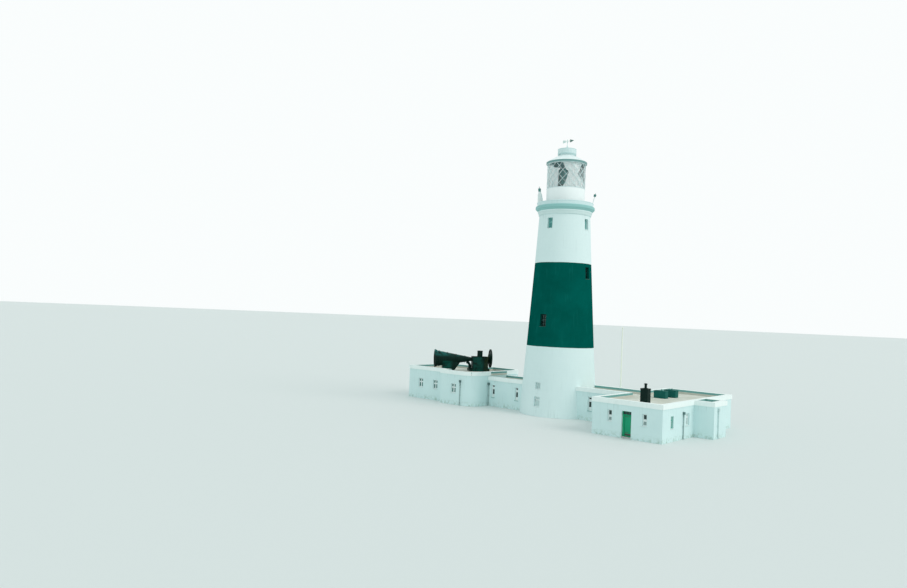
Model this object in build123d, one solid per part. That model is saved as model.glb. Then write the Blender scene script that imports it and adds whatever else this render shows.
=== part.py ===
"""A lighthouse: a banded round tower between two low flat-roofed wings, with a fog signal on the left wing.

Millimetres, +Z up. The origin is on the tower's axis at ground level, +X runs along the wings towards
the dwelling, and -Y is the front.
"""

from build123d import *
from math import cos, radians, sin
import os

# Compass of the plan: the outward direction of each side, in degrees from +X
SIDES = {"front": 270, "right": 0, "rear": 90, "left": 180}
# Solids stand on their base, centred in plan
UPRIGHT = (Align.CENTER, Align.CENTER, Align.MIN)

# Tower shaft
SHAFT_HEIGHT = 23200
BAND_BOTTOM = 7760
BAND_TOP = 17300
SHAFT_FOOT_RADIUS = 4400
BAND_BOTTOM_RADIUS = 3850
BAND_TOP_RADIUS = 3245
SHAFT_TOP_RADIUS = 2910
SHAFT_FOOT_WALL = 1250
SHAFT_TOP_WALL = 710
TOWER_FLOOR_TOP = 150
TOWER_FLOOR_THICKNESS = 250
SERVICE_FLOOR_TOP = SHAFT_HEIGHT - 2900

# Tower windows: sill height, clear height and width
FOOT_LIGHT = (1080, 1090, 760)
SMALL_LIGHT = (3030, 710, 670)
LOW_STAIR_LIGHT = (10040, 1350, 800)
HIGH_STAIR_LIGHT = (15600, 1300, 760)
SERVICE_LIGHT = (SHAFT_HEIGHT - 2000, 1200, 680)
TOWER_LIGHTS = {
    "front": (FOOT_LIGHT, SMALL_LIGHT, LOW_STAIR_LIGHT, SERVICE_LIGHT),
    "right": (HIGH_STAIR_LIGHT, SERVICE_LIGHT),
    "rear": (LOW_STAIR_LIGHT, SERVICE_LIGHT),
    "left": (HIGH_STAIR_LIGHT, SERVICE_LIGHT),
}
TOWER_REVEAL = 300

# Gallery
DECK_THICKNESS = 250
DECK_PROUD = 200
PARAPET_RADIUS = 3240
PARAPET_THICKNESS = 180
PARAPET_HEIGHT = 880
CORNICE_RADIUS = 3400
CORNICE_RISE = 450
CORNICE_FACE = 300
CORNICE_LIP = 120
BED_MOULD_DROP = 350
BED_MOULD_PROUD = 100
CORNICE_CHAMFER = 50

# Lantern
MURETTE_RADIUS = 2220
MURETTE_THICKNESS = 220
MURETTE_HEIGHT = 2550
GLAZING_HEIGHT = 2940
LATTICE_RADIUS = 2190
LATTICE_DIAMONDS = 16
LATTICE_HALF_ROWS = 6
ASTRAGAL_WIDTH = 45
ASTRAGAL_DEPTH = 60
GLASS_RADIUS = 2140
GLASS_THICKNESS = 30
ASTRAGAL_CLEARANCE = 5
CURTAIN_THICKNESS = 80
CURTAIN_CLEARANCE = 0.3
RIGHT_CURTAIN = (-55, 180)
LEFT_CURTAIN = (130, 143)
LOW_CURTAIN_HEIGHT = 2600
GUTTER_RADIUS = 2345
GUTTER_INNER_RADIUS = 1950
GUTTER_HEIGHT = 200
ROOF_RISE = 820
ROOF_SHELL = 40
VENT_RADIUS = 1060
VENT_NECK_RADIUS = 900
VENT_NECK_HEIGHT = 120
VENT_DRUM_HEIGHT = 640
VENT_CAP_RISE = 300
LENS_RADIUS = 900
LENS_HEIGHT = 1900
PEDESTAL_RADIUS = 450

# Weather vane
SPINDLE_RADIUS = 30
SPINDLE_TIP = 220
VANE_RISE = 710
VANE_HEAD_REACH = 880
VANE_TAIL_REACH = 620
VANE_SLEEVE_RADIUS = 65
VANE_SLEEVE_HEIGHT = 240
VANE_CLEARANCE = 2
VANE_SEAT = 0.3
VANE_ARM = 36
VANE_PLATE_THICKNESS = 20
VANE_HEAD_LENGTH = 520
VANE_HEAD_HEIGHT = 380
VANE_TAIL_LENGTH = 380
VANE_TAIL_HEIGHT = 360

# Fittings on the gallery, left and right as seen from the front
VIEW_TURN = 42
BEACON_REACH = 2900
BEACON_LEAN = 6
BEACON_PLATE = (720, 660, 60)
BEACON_POST = (2680, 60)
BEACON_FOOT_RADIUS = 320
BEACON_SHOULDER_RADIUS = 250
BEACON_SHOULDER = 900
BEACON_TOP_RADIUS = 120
BEACON_HEIGHT = 1280
BEACON_HEAD_HEIGHT = 330
BEACON_HEAD_RADIUS = 150
BEACON_TIP_HEIGHT = 260
BEACON_TIP_RADIUS = 25
LAMP_LEAN = 14
LAMP_POST_RADIUS = 40
LAMP_POST_HEIGHT = 1040
LAMP_HEAD_RADIUS = 130
LAMP_HEAD_HEIGHT = 240
LAMP_TIP_HEIGHT = 180
LAMP_TIP_RADIUS = 20

# Masonry of the wings
WALL = 350
FLOOR_TOP = 150
SLAB = 200
LOW_WALL_TOP = 3100
HIGH_WALL_TOP = 3650
COPING_HEIGHT = 450
COPING_PROUD = 70
STONE_JOINT = 5
FOOTING = 0

# Links between the tower and the blocks
LINK_HALF_WIDTH = 2000

# Dwelling block and annex, right of the tower
DWELLING_LEFT = 9850
DWELLING_RIGHT = 17100
DWELLING_FRONT = -8900
DWELLING_REAR = 7500
ANNEX_RIGHT = 19100
ANNEX_FRONT = -2100
ANNEX_REAR = 900

# Fog signal block and west block, left of the tower
HORN_RIGHT = -8870
HORN_LEFT = -13900
HORN_HALF_LENGTH = 5100
HORN_CORNER = 1650
WEST_LEFT = -20500
WEST_HALF_WIDTH = 4000

# House windows: centre along the wall, sill height, clear height and width
REVEAL = 120
FRAME_WIDTH = 60
FRAME_DEPTH = 80
PANE_THICKNESS = 20
NARROW = (1430, 1080, 450)
TALL = (1100, 1500, 450)
PAIRED = (1430, 1120, 780)
SIDE_NARROW = (1250, 1120, 600)
SIDE_WIDE = (1250, 1150, 800)
LINK_LIGHTS = {"right": [(5400, TALL)], "left": [(-8040, TALL), (-4520, TALL)]}
DWELLING_FRONT_LIGHTS = (11740, 15340)
DWELLING_LEFT_LIGHTS = [(-5500, NARROW), (5000, NARROW)]
DWELLING_RIGHT_LIGHTS = [
    (-6900, SIDE_NARROW),
    (-3550, SIDE_WIDE),
    (2900, SIDE_WIDE),
    (5900, SIDE_NARROW),
]
SIGNAL_FRONT_LIGHT = -11780
WEST_FRONT_LIGHTS = (-18420, -15870)
WEST_END_LIGHTS = (-1800, 1800)

# Door
DOOR_CENTRE = 13500
DOOR_WIDTH = 1000
DOOR_HEAD = 2550
DOOR_FRAME = 60
DOOR_SIDE_BOARD = 140
DOOR_FRAME_DEPTH = 110
DOOR_TRANSOM_BOTTOM = 2150
DOOR_TRANSOM_HEIGHT = 70
DOOR_LEAF_THICKNESS = 50
DOOR_GAP = 8
DOOR_REVEAL = 220
HINGE_RADIUS = 10
HINGE_PLATE = 4
HINGE_WIDTH = 40
HINGE_KNUCKLE = 40
HINGE_PLAY = 0.3
HINGE_HEIGHTS = (400, 1850)

# Roof plant on the dwelling
STACK_X = 14150
STACK_BEHIND_FRONT = 2400
STACK_SIZE = (750, 650)
STACK_HEIGHT = 1500
STUB_RADIUS = 120
STUB_HEIGHT = 480
TANK_PLACES = ((12390, 500), (12660, 2350))
TANK_SIZE = (1280, 700, 720)

# Rainwater pipes: the side of the wall they stand on and their place
PIPE_RADIUS = 50
PIPE_STANDOFF = 30
PIPE_FOOT = 60
HOPPER_SIZE = (180, 220, 260)
PIPES = (
    (-10650, -HORN_HALF_LENGTH, SIDES["front"], 3050),
    (-8700, -LINK_HALF_WIDTH, SIDES["front"], 2800),
    (-8700, LINK_HALF_WIDTH, SIDES["rear"], 2800),
    (DWELLING_RIGHT, -4550, SIDES["right"], 2600),
    (DWELLING_RIGHT, 4400, SIDES["right"], 2600),
    (ANNEX_RIGHT, -1200, SIDES["right"], 2950),
)

# Flagstaff behind the right link
STAFF_PLACE = (6280, 3100)
STAFF_HEIGHT = 10200
STAFF_RADIUS = 110
STAFF_BRACKET_HEIGHTS = (900, 2700)
STAFF_BRACKET = 80

# Fog signal: horns lie along one line over the roof, mouths outwards
SIGNAL_PLACE = (-14930, 725)
SIGNAL_TURN = 50
SIGNAL_AXIS = 5170
TRUMPET_WALL = 40
THROAT_RADIUS = 230
LONG_BELL_RADIUS = 1060
LONG_CONE_RADIUS = 970
LONG_MOUTH = 4150
LONG_BELL_START = 3600
SHORT_AXIS_LIFT = 180
SHORT_BELL_RADIUS = 1110
SHORT_CONE_RADIUS = 520
SHORT_THROAT_RADIUS = 190
SHORT_FLARE = 450
SHORT_BELL_DEPTH = 270
BELL_HOLLOW = 0.18
RIM_THICKNESS = 130
RIM_DEPTH = 120
CRADLE_START = 1620
CRADLE_LENGTH = 1500
CRADLE_WIDTH = 1100
CRADLE_HEIGHT = 1150
CRADLE_FLARE = 800
HOUSING_START = 800
HOUSING_LENGTH = 2020
HOUSING_WIDTH = 1500
HOUSING_HEIGHT = 1890
BASE_FRONT = 480
BASE_BACK = 180
BASE_WIDTH = 1700
BASE_HEIGHT = 350
CAP_PLACE = 1810
CAP_RADIUS = 350
CAP_HEIGHT = 740
BEND_RADIUS = 450
FEED_RADIUS = 170
FEED_PLACE = 500
SEAT_CLEARANCE = 0.3

DECK_TOP = SHAFT_HEIGHT + DECK_THICKNESS
DECK_RADIUS = SHAFT_TOP_RADIUS + DECK_PROUD
PARAPET_TOP = DECK_TOP + PARAPET_HEIGHT
CORNICE_TOP = DECK_TOP + CORNICE_RISE
MURETTE_TOP = DECK_TOP + MURETTE_HEIGHT
GLAZING_TOP = MURETTE_TOP + GLAZING_HEIGHT
GUTTER_TOP = GLAZING_TOP + GUTTER_HEIGHT
ROOF_TOP = GUTTER_TOP + ROOF_RISE
MURETTE_INNER = MURETTE_RADIUS - MURETTE_THICKNESS
GLASS_INNER = GLASS_RADIUS - GLASS_THICKNESS

parts = {}


def block(x, y, z):
    """A box between two limits along each axis, each given as a pair."""
    size = [max(pair) - min(pair) for pair in (x, y, z)]
    centre = [(pair[0] + pair[1]) / 2 for pair in (x, y, z)]
    return Pos(*centre) * Box(*size)


def drum(radius, bottom, top):
    """A round solid about the tower's axis."""
    return Pos(0, 0, bottom) * Cylinder(radius, top - bottom, align=UPRIGHT)


def tube(outer, inner, bottom, top):
    """A ring about the tower's axis."""
    return drum(outer, bottom, top) - drum(inner, bottom, top)


def outline(points):
    """The closed outline through points of radius and height, on the XZ plane."""
    return Face(Wire(Polyline(*[(r, 0, z) for r, z in points], close=True)))


def sector(start, size, reach, bottom, top):
    """A wedge of a drum, from an angle and through another, for cutting rings."""
    wedge = Cylinder(reach, top - bottom, arc_size=size, align=(Align.NONE, Align.NONE, Align.MIN))
    return Rot(Z=start) * Pos(0, 0, bottom) * wedge


def save(name, shape):
    """Keeps a sub-part under its name."""
    parts[name] = shape


def bore_radius(height):
    """The inner radius of the tower at a height."""
    foot = SHAFT_FOOT_RADIUS - SHAFT_FOOT_WALL
    top = SHAFT_TOP_RADIUS - SHAFT_TOP_WALL
    return foot + (top - foot) * height / SHAFT_HEIGHT


BATTER = (
    (SHAFT_FOOT_RADIUS, 0),
    (BAND_BOTTOM_RADIUS, BAND_BOTTOM),
    (BAND_TOP_RADIUS, BAND_TOP),
    (SHAFT_TOP_RADIUS, SHAFT_HEIGHT),
)


def batter_radius(height):
    """The outer radius of the tower at a height."""
    for (low_radius, low), (high_radius, high) in zip(BATTER, BATTER[1:]):
        if height <= high:
            return low_radius + (high_radius - low_radius) * (height - low) / (high - low)


def window(face_place, angle, light, reveal, wall):
    """The hole, frame and pane of a window whose wall face is at a place and looks along an angle."""
    sill, height, width = light
    place = Pos(*face_place, sill + height / 2) * Rot(Z=angle)
    hole = place * Pos(-wall / 2, 0, 0) * Box(3 * wall, width, height)
    clear = (width - 2 * FRAME_WIDTH, height - 2 * FRAME_WIDTH)
    seat = place * Pos(-reveal - FRAME_DEPTH / 2, 0, 0)
    frame = seat * (Box(FRAME_DEPTH, width, height) - Box(FRAME_DEPTH, *clear))
    pane = seat * Box(PANE_THICKNESS, *clear)
    return hole, frame, pane


frames = []
panes = []

# Tower shaft: four curved walls, with a window light in the middle of each where the side has one
SHAFT = revolve(outline([*BATTER, (0, SHAFT_HEIGHT), (0, 0)]), axis=Axis.Z)
wall_profile = outline([*BATTER, (bore_radius(SHAFT_HEIGHT), SHAFT_HEIGHT), (bore_radius(0), 0)])
for side, angle in SIDES.items():
    wall = Rot(Z=angle - 45) * revolve(wall_profile, axis=Axis.Z, revolution_arc=90)
    for light in TOWER_LIGHTS[side]:
        middle = light[0] + light[1] / 2
        face = batter_radius(middle)
        place = (face * cos(radians(angle)), face * sin(radians(angle)))
        hole, frame, pane = window(place, angle, light, TOWER_REVEAL, face - bore_radius(middle))
        wall -= hole
        frames.append(frame)
        panes.append(pane)
    save(f"tower_{side}_wall", wall)


def tower_floor(top):
    """A round floor that fits the tower's bore."""
    bottom = top - TOWER_FLOOR_THICKNESS
    low = max(bottom, 0)
    return Pos(0, 0, low) * Cone(bore_radius(low), bore_radius(top), top - low, align=UPRIGHT)


save("tower_floors", Compound([tower_floor(TOWER_FLOOR_TOP), tower_floor(SERVICE_FLOOR_TOP)]))

# Gallery: deck on the shaft, moulded cornice round its edge, solid parapet
save("gallery_floor", drum(DECK_RADIUS, SHAFT_HEIGHT, DECK_TOP))
bed_bottom = SHAFT_HEIGHT - BED_MOULD_DROP
bed_mould = revolve(
    outline(
        [
            (SHAFT_TOP_RADIUS - BED_MOULD_PROUD, bed_bottom),
            (SHAFT_TOP_RADIUS + BED_MOULD_PROUD, bed_bottom),
            (DECK_RADIUS, SHAFT_HEIGHT),
            (SHAFT_TOP_RADIUS - BED_MOULD_PROUD, SHAFT_HEIGHT),
        ]
    ),
    axis=Axis.Z,
)
cornice_ring = revolve(
    outline(
        [
            (DECK_RADIUS, DECK_TOP),
            (DECK_RADIUS, DECK_TOP - CORNICE_LIP),
            (CORNICE_RADIUS, CORNICE_TOP - CORNICE_FACE),
            (CORNICE_RADIUS, CORNICE_TOP - CORNICE_CHAMFER),
            (CORNICE_RADIUS - CORNICE_CHAMFER, CORNICE_TOP),
            (PARAPET_RADIUS, CORNICE_TOP),
            (PARAPET_RADIUS, DECK_TOP),
        ]
    ),
    axis=Axis.Z,
)
save("gallery_cornice", Compound([*(bed_mould - SHAFT).solids(), *cornice_ring.solids()]))
save("gallery_parapet", tube(PARAPET_RADIUS, PARAPET_RADIUS - PARAPET_THICKNESS, DECK_TOP, PARAPET_TOP))

# Lantern: solid murette, diagonal astragals, glass, gutter ring, low roof and ventilator
save("murette", tube(MURETTE_RADIUS, MURETTE_INNER, DECK_TOP, MURETTE_TOP))
save("lantern_glass", tube(GLASS_RADIUS, GLASS_INNER, MURETTE_TOP, GLAZING_TOP))


def lattice_point(level, step):
    """A crossing of the diagonal astragals: its level from the sill and its place round the ring."""
    turn = radians(360 / LATTICE_DIAMONDS * (step + level % 2 / 2))
    height = MURETTE_TOP + GLAZING_HEIGHT * level / LATTICE_HALF_ROWS
    return Vector(LATTICE_RADIUS * cos(turn), LATTICE_RADIUS * sin(turn), height)


def astragal(low, high):
    """A straight flat bar between two crossings, its depth pointing away from the lantern's axis."""
    run = high - low
    middle = (low + high) * 0.5
    outward = Vector(middle.X, middle.Y, 0).normalized()
    square = (outward - run.normalized() * outward.dot(run.normalized())).normalized()
    seat = Plane(origin=middle, x_dir=run, z_dir=square)
    return seat * Box(run.length + ASTRAGAL_WIDTH, ASTRAGAL_WIDTH, ASTRAGAL_DEPTH)


bars = []
for level in range(LATTICE_HALF_ROWS):
    for step in range(LATTICE_DIAMONDS):
        low = lattice_point(level, step)
        bars.append(astragal(low, lattice_point(level + 1, step)))
        bars.append(astragal(low, lattice_point(level + 1, step - 1 + 2 * (level % 2))))
lattice = bars[0].fuse(*bars[1:])
glazing = tube(2 * LATTICE_RADIUS, GLASS_RADIUS + ASTRAGAL_CLEARANCE, MURETTE_TOP, GLAZING_TOP)
save("lantern_astragals", lattice & glazing)


def curtain(start, size, top):
    """A drawn curtain just inside the glass, from an angle and through another."""
    outer = GLASS_INNER - CURTAIN_CLEARANCE
    ring = tube(outer, outer - CURTAIN_THICKNESS, MURETTE_TOP, top)
    return ring & sector(start, size, 2 * GLASS_RADIUS, MURETTE_TOP, top)


save(
    "lantern_curtains",
    Compound(
        [
            *curtain(RIGHT_CURTAIN[0], RIGHT_CURTAIN[1], GLAZING_TOP).solids(),
            *curtain(LEFT_CURTAIN[0], LEFT_CURTAIN[1], MURETTE_TOP + LOW_CURTAIN_HEIGHT).solids(),
        ]
    ),
)
lens_bottom = (MURETTE_TOP + GLAZING_TOP - LENS_HEIGHT) / 2
save("lens_pedestal", drum(PEDESTAL_RADIUS, DECK_TOP, lens_bottom))
save("lens", drum(LENS_RADIUS, lens_bottom, lens_bottom + LENS_HEIGHT))
save("lantern_gutter", tube(GUTTER_RADIUS, GUTTER_INNER_RADIUS, GLAZING_TOP, GUTTER_TOP))
save(
    "lantern_roof",
    revolve(
        outline(
            [
                (GUTTER_INNER_RADIUS, GUTTER_TOP),
                (GUTTER_RADIUS, GUTTER_TOP),
                (VENT_NECK_RADIUS, ROOF_TOP),
                (VENT_NECK_RADIUS - ROOF_SHELL, ROOF_TOP),
                (VENT_NECK_RADIUS - ROOF_SHELL, ROOF_TOP - ROOF_SHELL),
            ]
        ),
        axis=Axis.Z,
    ),
)
drum_bottom = ROOF_TOP + VENT_NECK_HEIGHT
drum_top = drum_bottom + VENT_DRUM_HEIGHT
cap_top = drum_top + VENT_CAP_RISE
save(
    "ventilator",
    revolve(
        outline(
            [
                (0, ROOF_TOP),
                (VENT_NECK_RADIUS, ROOF_TOP),
                (VENT_NECK_RADIUS, drum_bottom),
                (VENT_RADIUS, drum_bottom),
                (VENT_RADIUS, drum_top),
                (SPINDLE_RADIUS, cap_top),
                (0, cap_top),
            ]
        ),
        axis=Axis.Z,
    ),
)

# Weather vane: a fixed spindle with a collar under the turning sleeve
vane_height = cap_top + VANE_RISE
sleeve_bottom = vane_height - VANE_SLEEVE_HEIGHT / 2
sleeve_top = vane_height + VANE_SLEEVE_HEIGHT / 2
collar_top = sleeve_bottom - VANE_SEAT
save(
    "vane_spindle",
    drum(SPINDLE_RADIUS, cap_top, vane_height + SPINDLE_TIP)
    + drum(VANE_SLEEVE_RADIUS, collar_top - VANE_SLEEVE_HEIGHT / 4, collar_top),
)
sleeve = tube(VANE_SLEEVE_RADIUS, SPINDLE_RADIUS + VANE_CLEARANCE, sleeve_bottom, sleeve_top)
arm_start = SPINDLE_RADIUS + VANE_SLEEVE_RADIUS / 2
arm_half = VANE_ARM / 2
arm_z = (vane_height - arm_half, vane_height + arm_half)
arm = block((arm_start, VANE_HEAD_REACH), (-arm_half, arm_half), arm_z)
tail_arm = block((-VANE_TAIL_REACH, -arm_start), (-arm_half, arm_half), arm_z)
head_points = [
    (VANE_HEAD_REACH, 0),
    (VANE_HEAD_REACH - VANE_HEAD_LENGTH, VANE_HEAD_HEIGHT / 2),
    (VANE_HEAD_REACH - VANE_HEAD_LENGTH, -VANE_HEAD_HEIGHT / 2),
]
tail_points = [
    (-VANE_TAIL_REACH, VANE_TAIL_HEIGHT / 2),
    (-VANE_TAIL_REACH + VANE_TAIL_LENGTH, VANE_TAIL_HEIGHT / 3),
    (-VANE_TAIL_REACH + VANE_TAIL_LENGTH, -VANE_TAIL_HEIGHT / 3),
    (-VANE_TAIL_REACH, -VANE_TAIL_HEIGHT / 2),
]


def vane_plate(points):
    """A flat upright plate of the vane, from its outline along and above the arm."""
    face = Face(Wire(Polyline(*[(x, 0, vane_height + z) for x, z in points], close=True)))
    return extrude(face, VANE_PLATE_THICKNESS / 2, dir=(0, 1, 0), both=True)


save("weather_vane", sleeve + arm + tail_arm + vane_plate(head_points) + vane_plate(tail_points))

# Fittings on the gallery: a white beacon that leans out on the left, a small lamp on the right
left_way = Rot(Z=180 + VIEW_TURN)
right_way = Rot(Z=VIEW_TURN)
plate_top = PARAPET_TOP + BEACON_PLATE[2]
beacon_body = Cone(BEACON_FOOT_RADIUS, BEACON_SHOULDER_RADIUS, BEACON_SHOULDER, align=UPRIGHT)
beacon_body += Pos(0, 0, BEACON_SHOULDER) * Cone(
    BEACON_SHOULDER_RADIUS, BEACON_TOP_RADIUS, BEACON_HEIGHT - BEACON_SHOULDER, align=UPRIGHT
)
beacon_body += Pos(0, 0, BEACON_HEIGHT) * Cylinder(BEACON_HEAD_RADIUS, BEACON_HEAD_HEIGHT, align=UPRIGHT)
beacon_body += Pos(0, 0, BEACON_HEIGHT + BEACON_HEAD_HEIGHT) * Cylinder(
    BEACON_TIP_RADIUS, BEACON_TIP_HEIGHT, align=UPRIGHT
)
beacon = Pos(BEACON_REACH, 0, plate_top) * Rot(Y=BEACON_LEAN) * beacon_body
beacon += Pos(BEACON_REACH, 0, PARAPET_TOP) * Box(*BEACON_PLATE, align=UPRIGHT)
beacon += Pos(BEACON_POST[0], 0, DECK_TOP) * Cylinder(BEACON_POST[1], PARAPET_HEIGHT, align=UPRIGHT)
beacon = left_way * beacon
lamp_top = LAMP_POST_HEIGHT + LAMP_HEAD_HEIGHT
lamp = Pos(0, 0, -LAMP_POST_RADIUS) * Cylinder(LAMP_POST_RADIUS, lamp_top, align=UPRIGHT)
lamp += Pos(0, 0, LAMP_POST_HEIGHT) * Cylinder(LAMP_HEAD_RADIUS, LAMP_HEAD_HEIGHT, align=UPRIGHT)
lamp += Pos(0, 0, lamp_top) * Cylinder(LAMP_TIP_RADIUS, LAMP_TIP_HEIGHT, align=UPRIGHT)
lamp_place = PARAPET_RADIUS - PARAPET_THICKNESS / 2
lamp = Pos(lamp_place, 0, PARAPET_TOP) * Rot(Y=LAMP_LEAN) * lamp
above_parapet = block((0, 2 * lamp_place), (-lamp_place, lamp_place), (PARAPET_TOP, 2 * PARAPET_TOP))
lamp = right_way * (lamp & above_parapet)
save("gallery_beacon", beacon)
save("gallery_lamp", lamp)

# Walls of the wings, each a straight slab on the ground with its window holes
def house_window(wall_side, along, face, light):
    """A window in a straight wall: the side it looks to, its centre along the wall, the wall's face."""
    angle = SIDES[wall_side]
    place = (along, face) if wall_side in ("front", "rear") else (face, along)
    hole, frame, pane = window(place, angle, light, REVEAL, WALL)
    frames.append(frame)
    panes.append(pane)
    return hole


def pierced(wall, wall_side, face, lights):
    """A wall with the windows of a list of centres and lights cut through it."""
    for along, light in lights:
        wall -= house_window(wall_side, along, face, light)
    return wall


link_ends = {"right": (0, DWELLING_LEFT), "left": (HORN_RIGHT, 0)}
link_walls = []
for end, limits in link_ends.items():
    for wall_side, sign in (("front", -1), ("rear", 1)):
        face = sign * LINK_HALF_WIDTH
        wall = block(limits, (face, face - sign * WALL), (FOOTING, LOW_WALL_TOP)) - SHAFT
        link_walls.append(pierced(wall, wall_side, face, LINK_LIGHTS[end]))
save("link_walls", Compound([s for wall in link_walls for s in wall.solids()]))

# Dwelling: the front wall is split at the door, the side walls are left open to link and annex
door_left = DOOR_CENTRE - DOOR_WIDTH / 2
door_right = DOOR_CENTRE + DOOR_WIDTH / 2
front_depth = (DWELLING_FRONT, DWELLING_FRONT + WALL)
low = (FOOTING, LOW_WALL_TOP)
left_part = block((DWELLING_LEFT, door_left), front_depth, low)
right_part = block((door_right, DWELLING_RIGHT), front_depth, low)
end_lights = [(x, NARROW) for x in DWELLING_FRONT_LIGHTS]
save("dwelling_front_wall_left", pierced(left_part, "front", DWELLING_FRONT, end_lights[:1]))
save("dwelling_front_wall_right", pierced(right_part, "front", DWELLING_FRONT, end_lights[1:]))
save("dwelling_wall_over_door", block((door_left, door_right), front_depth, (DOOR_HEAD, LOW_WALL_TOP)))
save("door_step", block((door_left, door_right), front_depth, (FOOTING, FLOOR_TOP)))
inner_front = DWELLING_FRONT + WALL
inner_rear = DWELLING_REAR - WALL
rear = block((DWELLING_LEFT, DWELLING_RIGHT), (inner_rear, DWELLING_REAR), low)
save("dwelling_rear_wall", pierced(rear, "rear", DWELLING_REAR, end_lights))
side_walls = []
side_runs = (
    ("left", DWELLING_LEFT, inner_front, WALL - LINK_HALF_WIDTH, DWELLING_LEFT_LIGHTS[:1]),
    ("left", DWELLING_LEFT, LINK_HALF_WIDTH - WALL, inner_rear, DWELLING_LEFT_LIGHTS[1:]),
    ("right", DWELLING_RIGHT, inner_front, ANNEX_FRONT + WALL, DWELLING_RIGHT_LIGHTS[:2]),
    ("right", DWELLING_RIGHT, ANNEX_REAR - WALL, inner_rear, DWELLING_RIGHT_LIGHTS[2:]),
)
for wall_side, face, start, end, lights in side_runs:
    inner = face + WALL if wall_side == "left" else face - WALL
    side_walls.append(pierced(block((face, inner), (start, end), low), wall_side, face, lights))
save("dwelling_side_walls", Compound([s for wall in side_walls for s in wall.solids()]))
annex = block((DWELLING_RIGHT, ANNEX_RIGHT), (ANNEX_FRONT, ANNEX_REAR), low)
annex -= block((DWELLING_RIGHT - WALL, ANNEX_RIGHT - WALL), (ANNEX_FRONT + WALL, ANNEX_REAR - WALL), low)
save("annex_walls", annex)

# Fog signal block: rounded corners on its right side, open to the link and the west block
high = (FOOTING, HIGH_WALL_TOP)
horn_front = -HORN_HALF_LENGTH
straight_end = HORN_RIGHT - HORN_CORNER
for wall_side, sign in (("front", -1), ("rear", 1)):
    face = sign * HORN_HALF_LENGTH
    wall = block((HORN_LEFT, straight_end), (face, face - sign * WALL), high)
    save(f"signal_{wall_side}_wall", pierced(wall, wall_side, face, [(SIGNAL_FRONT_LIGHT, PAIRED)]))


def round_corner(sign, outer, inner, bottom, top):
    """A quarter ring at a right-hand corner of the fog signal block, front with -1 and rear with 1."""
    ring = Cylinder(outer, top - bottom, align=UPRIGHT) - Cylinder(inner, top - bottom, align=UPRIGHT)
    quarter = block((0, 2 * outer), (0, sign * 2 * outer), (0, top - bottom))
    centre = (straight_end, sign * (HORN_HALF_LENGTH - HORN_CORNER), bottom)
    return Pos(*centre) * (ring & quarter)


corners = [round_corner(sign, HORN_CORNER, HORN_CORNER - WALL, *high) for sign in (-1, 1)]
save("signal_corner_walls", Compound([s for corner in corners for s in corner.solids()]))
corner_end = HORN_HALF_LENGTH - HORN_CORNER
flank = []
for sign in (-1, 1):
    run = sorted((sign * (LINK_HALF_WIDTH - WALL), sign * corner_end))
    flank.append(block((HORN_RIGHT - WALL, HORN_RIGHT), run, high))
    run = sorted((sign * (WEST_HALF_WIDTH - WALL), sign * (HORN_HALF_LENGTH - WALL)))
    flank.append(block((HORN_LEFT, HORN_LEFT + WALL), run, high))
save("signal_side_walls", Compound(flank))
over_link = block(
    (HORN_RIGHT - WALL, HORN_RIGHT),
    (WALL - LINK_HALF_WIDTH, LINK_HALF_WIDTH - WALL),
    (LOW_WALL_TOP, HIGH_WALL_TOP),
)
save("signal_wall_over_link", over_link)
west_walls = []
for wall_side, sign in (("front", -1), ("rear", 1)):
    face = sign * WEST_HALF_WIDTH
    wall = block((WEST_LEFT, HORN_LEFT), (face, face - sign * WALL), high)
    west_walls.append(pierced(wall, wall_side, face, [(x, PAIRED) for x in WEST_FRONT_LIGHTS]))
save("west_side_walls", Compound([s for wall in west_walls for s in wall.solids()]))
west_inside = WEST_HALF_WIDTH - WALL
west_end = block((WEST_LEFT, WEST_LEFT + WALL), (-west_inside, west_inside), high)
save("west_end_wall", pierced(west_end, "left", WEST_LEFT, [(y, PAIRED) for y in WEST_END_LIGHTS]))

# Floors and flat roofs: slabs between the walls, with movement joints where they meet
def slabs(bottom, top, high_bottom, high_top):
    """The slabs of one level: links, dwelling, annex, fog signal block and west block."""
    gap = STONE_JOINT
    between = (WALL - LINK_HALF_WIDTH, LINK_HALF_WIDTH - WALL)
    level = (bottom, top)
    high_level = (high_bottom, high_top)
    signal_inner = block(
        (HORN_LEFT + WALL, HORN_RIGHT - WALL),
        (WALL - HORN_HALF_LENGTH, HORN_HALF_LENGTH - WALL),
        high_level,
    )
    for sign in (-1, 1):
        reach = HORN_CORNER - WALL
        corner_x = (straight_end, straight_end + 2 * reach)
        corner_y = sorted((sign * corner_end, sign * (corner_end + 2 * reach)))
        centre = Pos(straight_end, sign * corner_end, high_bottom)
        rounded = centre * Cylinder(reach, high_top - high_bottom, align=UPRIGHT)
        signal_inner -= block(corner_x, corner_y, high_level) - rounded
    return [
        block((0, DWELLING_LEFT), between, level) - SHAFT,
        block((HORN_RIGHT - WALL + gap, 0), between, level) - SHAFT,
        block((DWELLING_LEFT + gap, DWELLING_RIGHT - WALL), (inner_front, inner_rear), level)
        - block((DWELLING_LEFT, DWELLING_LEFT + WALL), (inner_front, between[0]), level)
        - block((DWELLING_LEFT, DWELLING_LEFT + WALL), (between[1], inner_rear), level),
        block(
            (DWELLING_RIGHT - WALL + gap, ANNEX_RIGHT - WALL),
            (ANNEX_FRONT + WALL, ANNEX_REAR - WALL),
            level,
        ),
        signal_inner,
        block((WEST_LEFT + WALL, HORN_LEFT + WALL - gap), (-west_inside, west_inside), high_level),
    ]


floors = slabs(FOOTING, FLOOR_TOP, FOOTING, FLOOR_TOP)
save("wing_floors", Compound([s for slab in floors for s in slab.solids()]))
roofs = slabs(LOW_WALL_TOP - SLAB, LOW_WALL_TOP, HIGH_WALL_TOP - SLAB, HIGH_WALL_TOP)
save("wing_roofs", Compound([s for slab in roofs for s in slab.solids()]))


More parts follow.
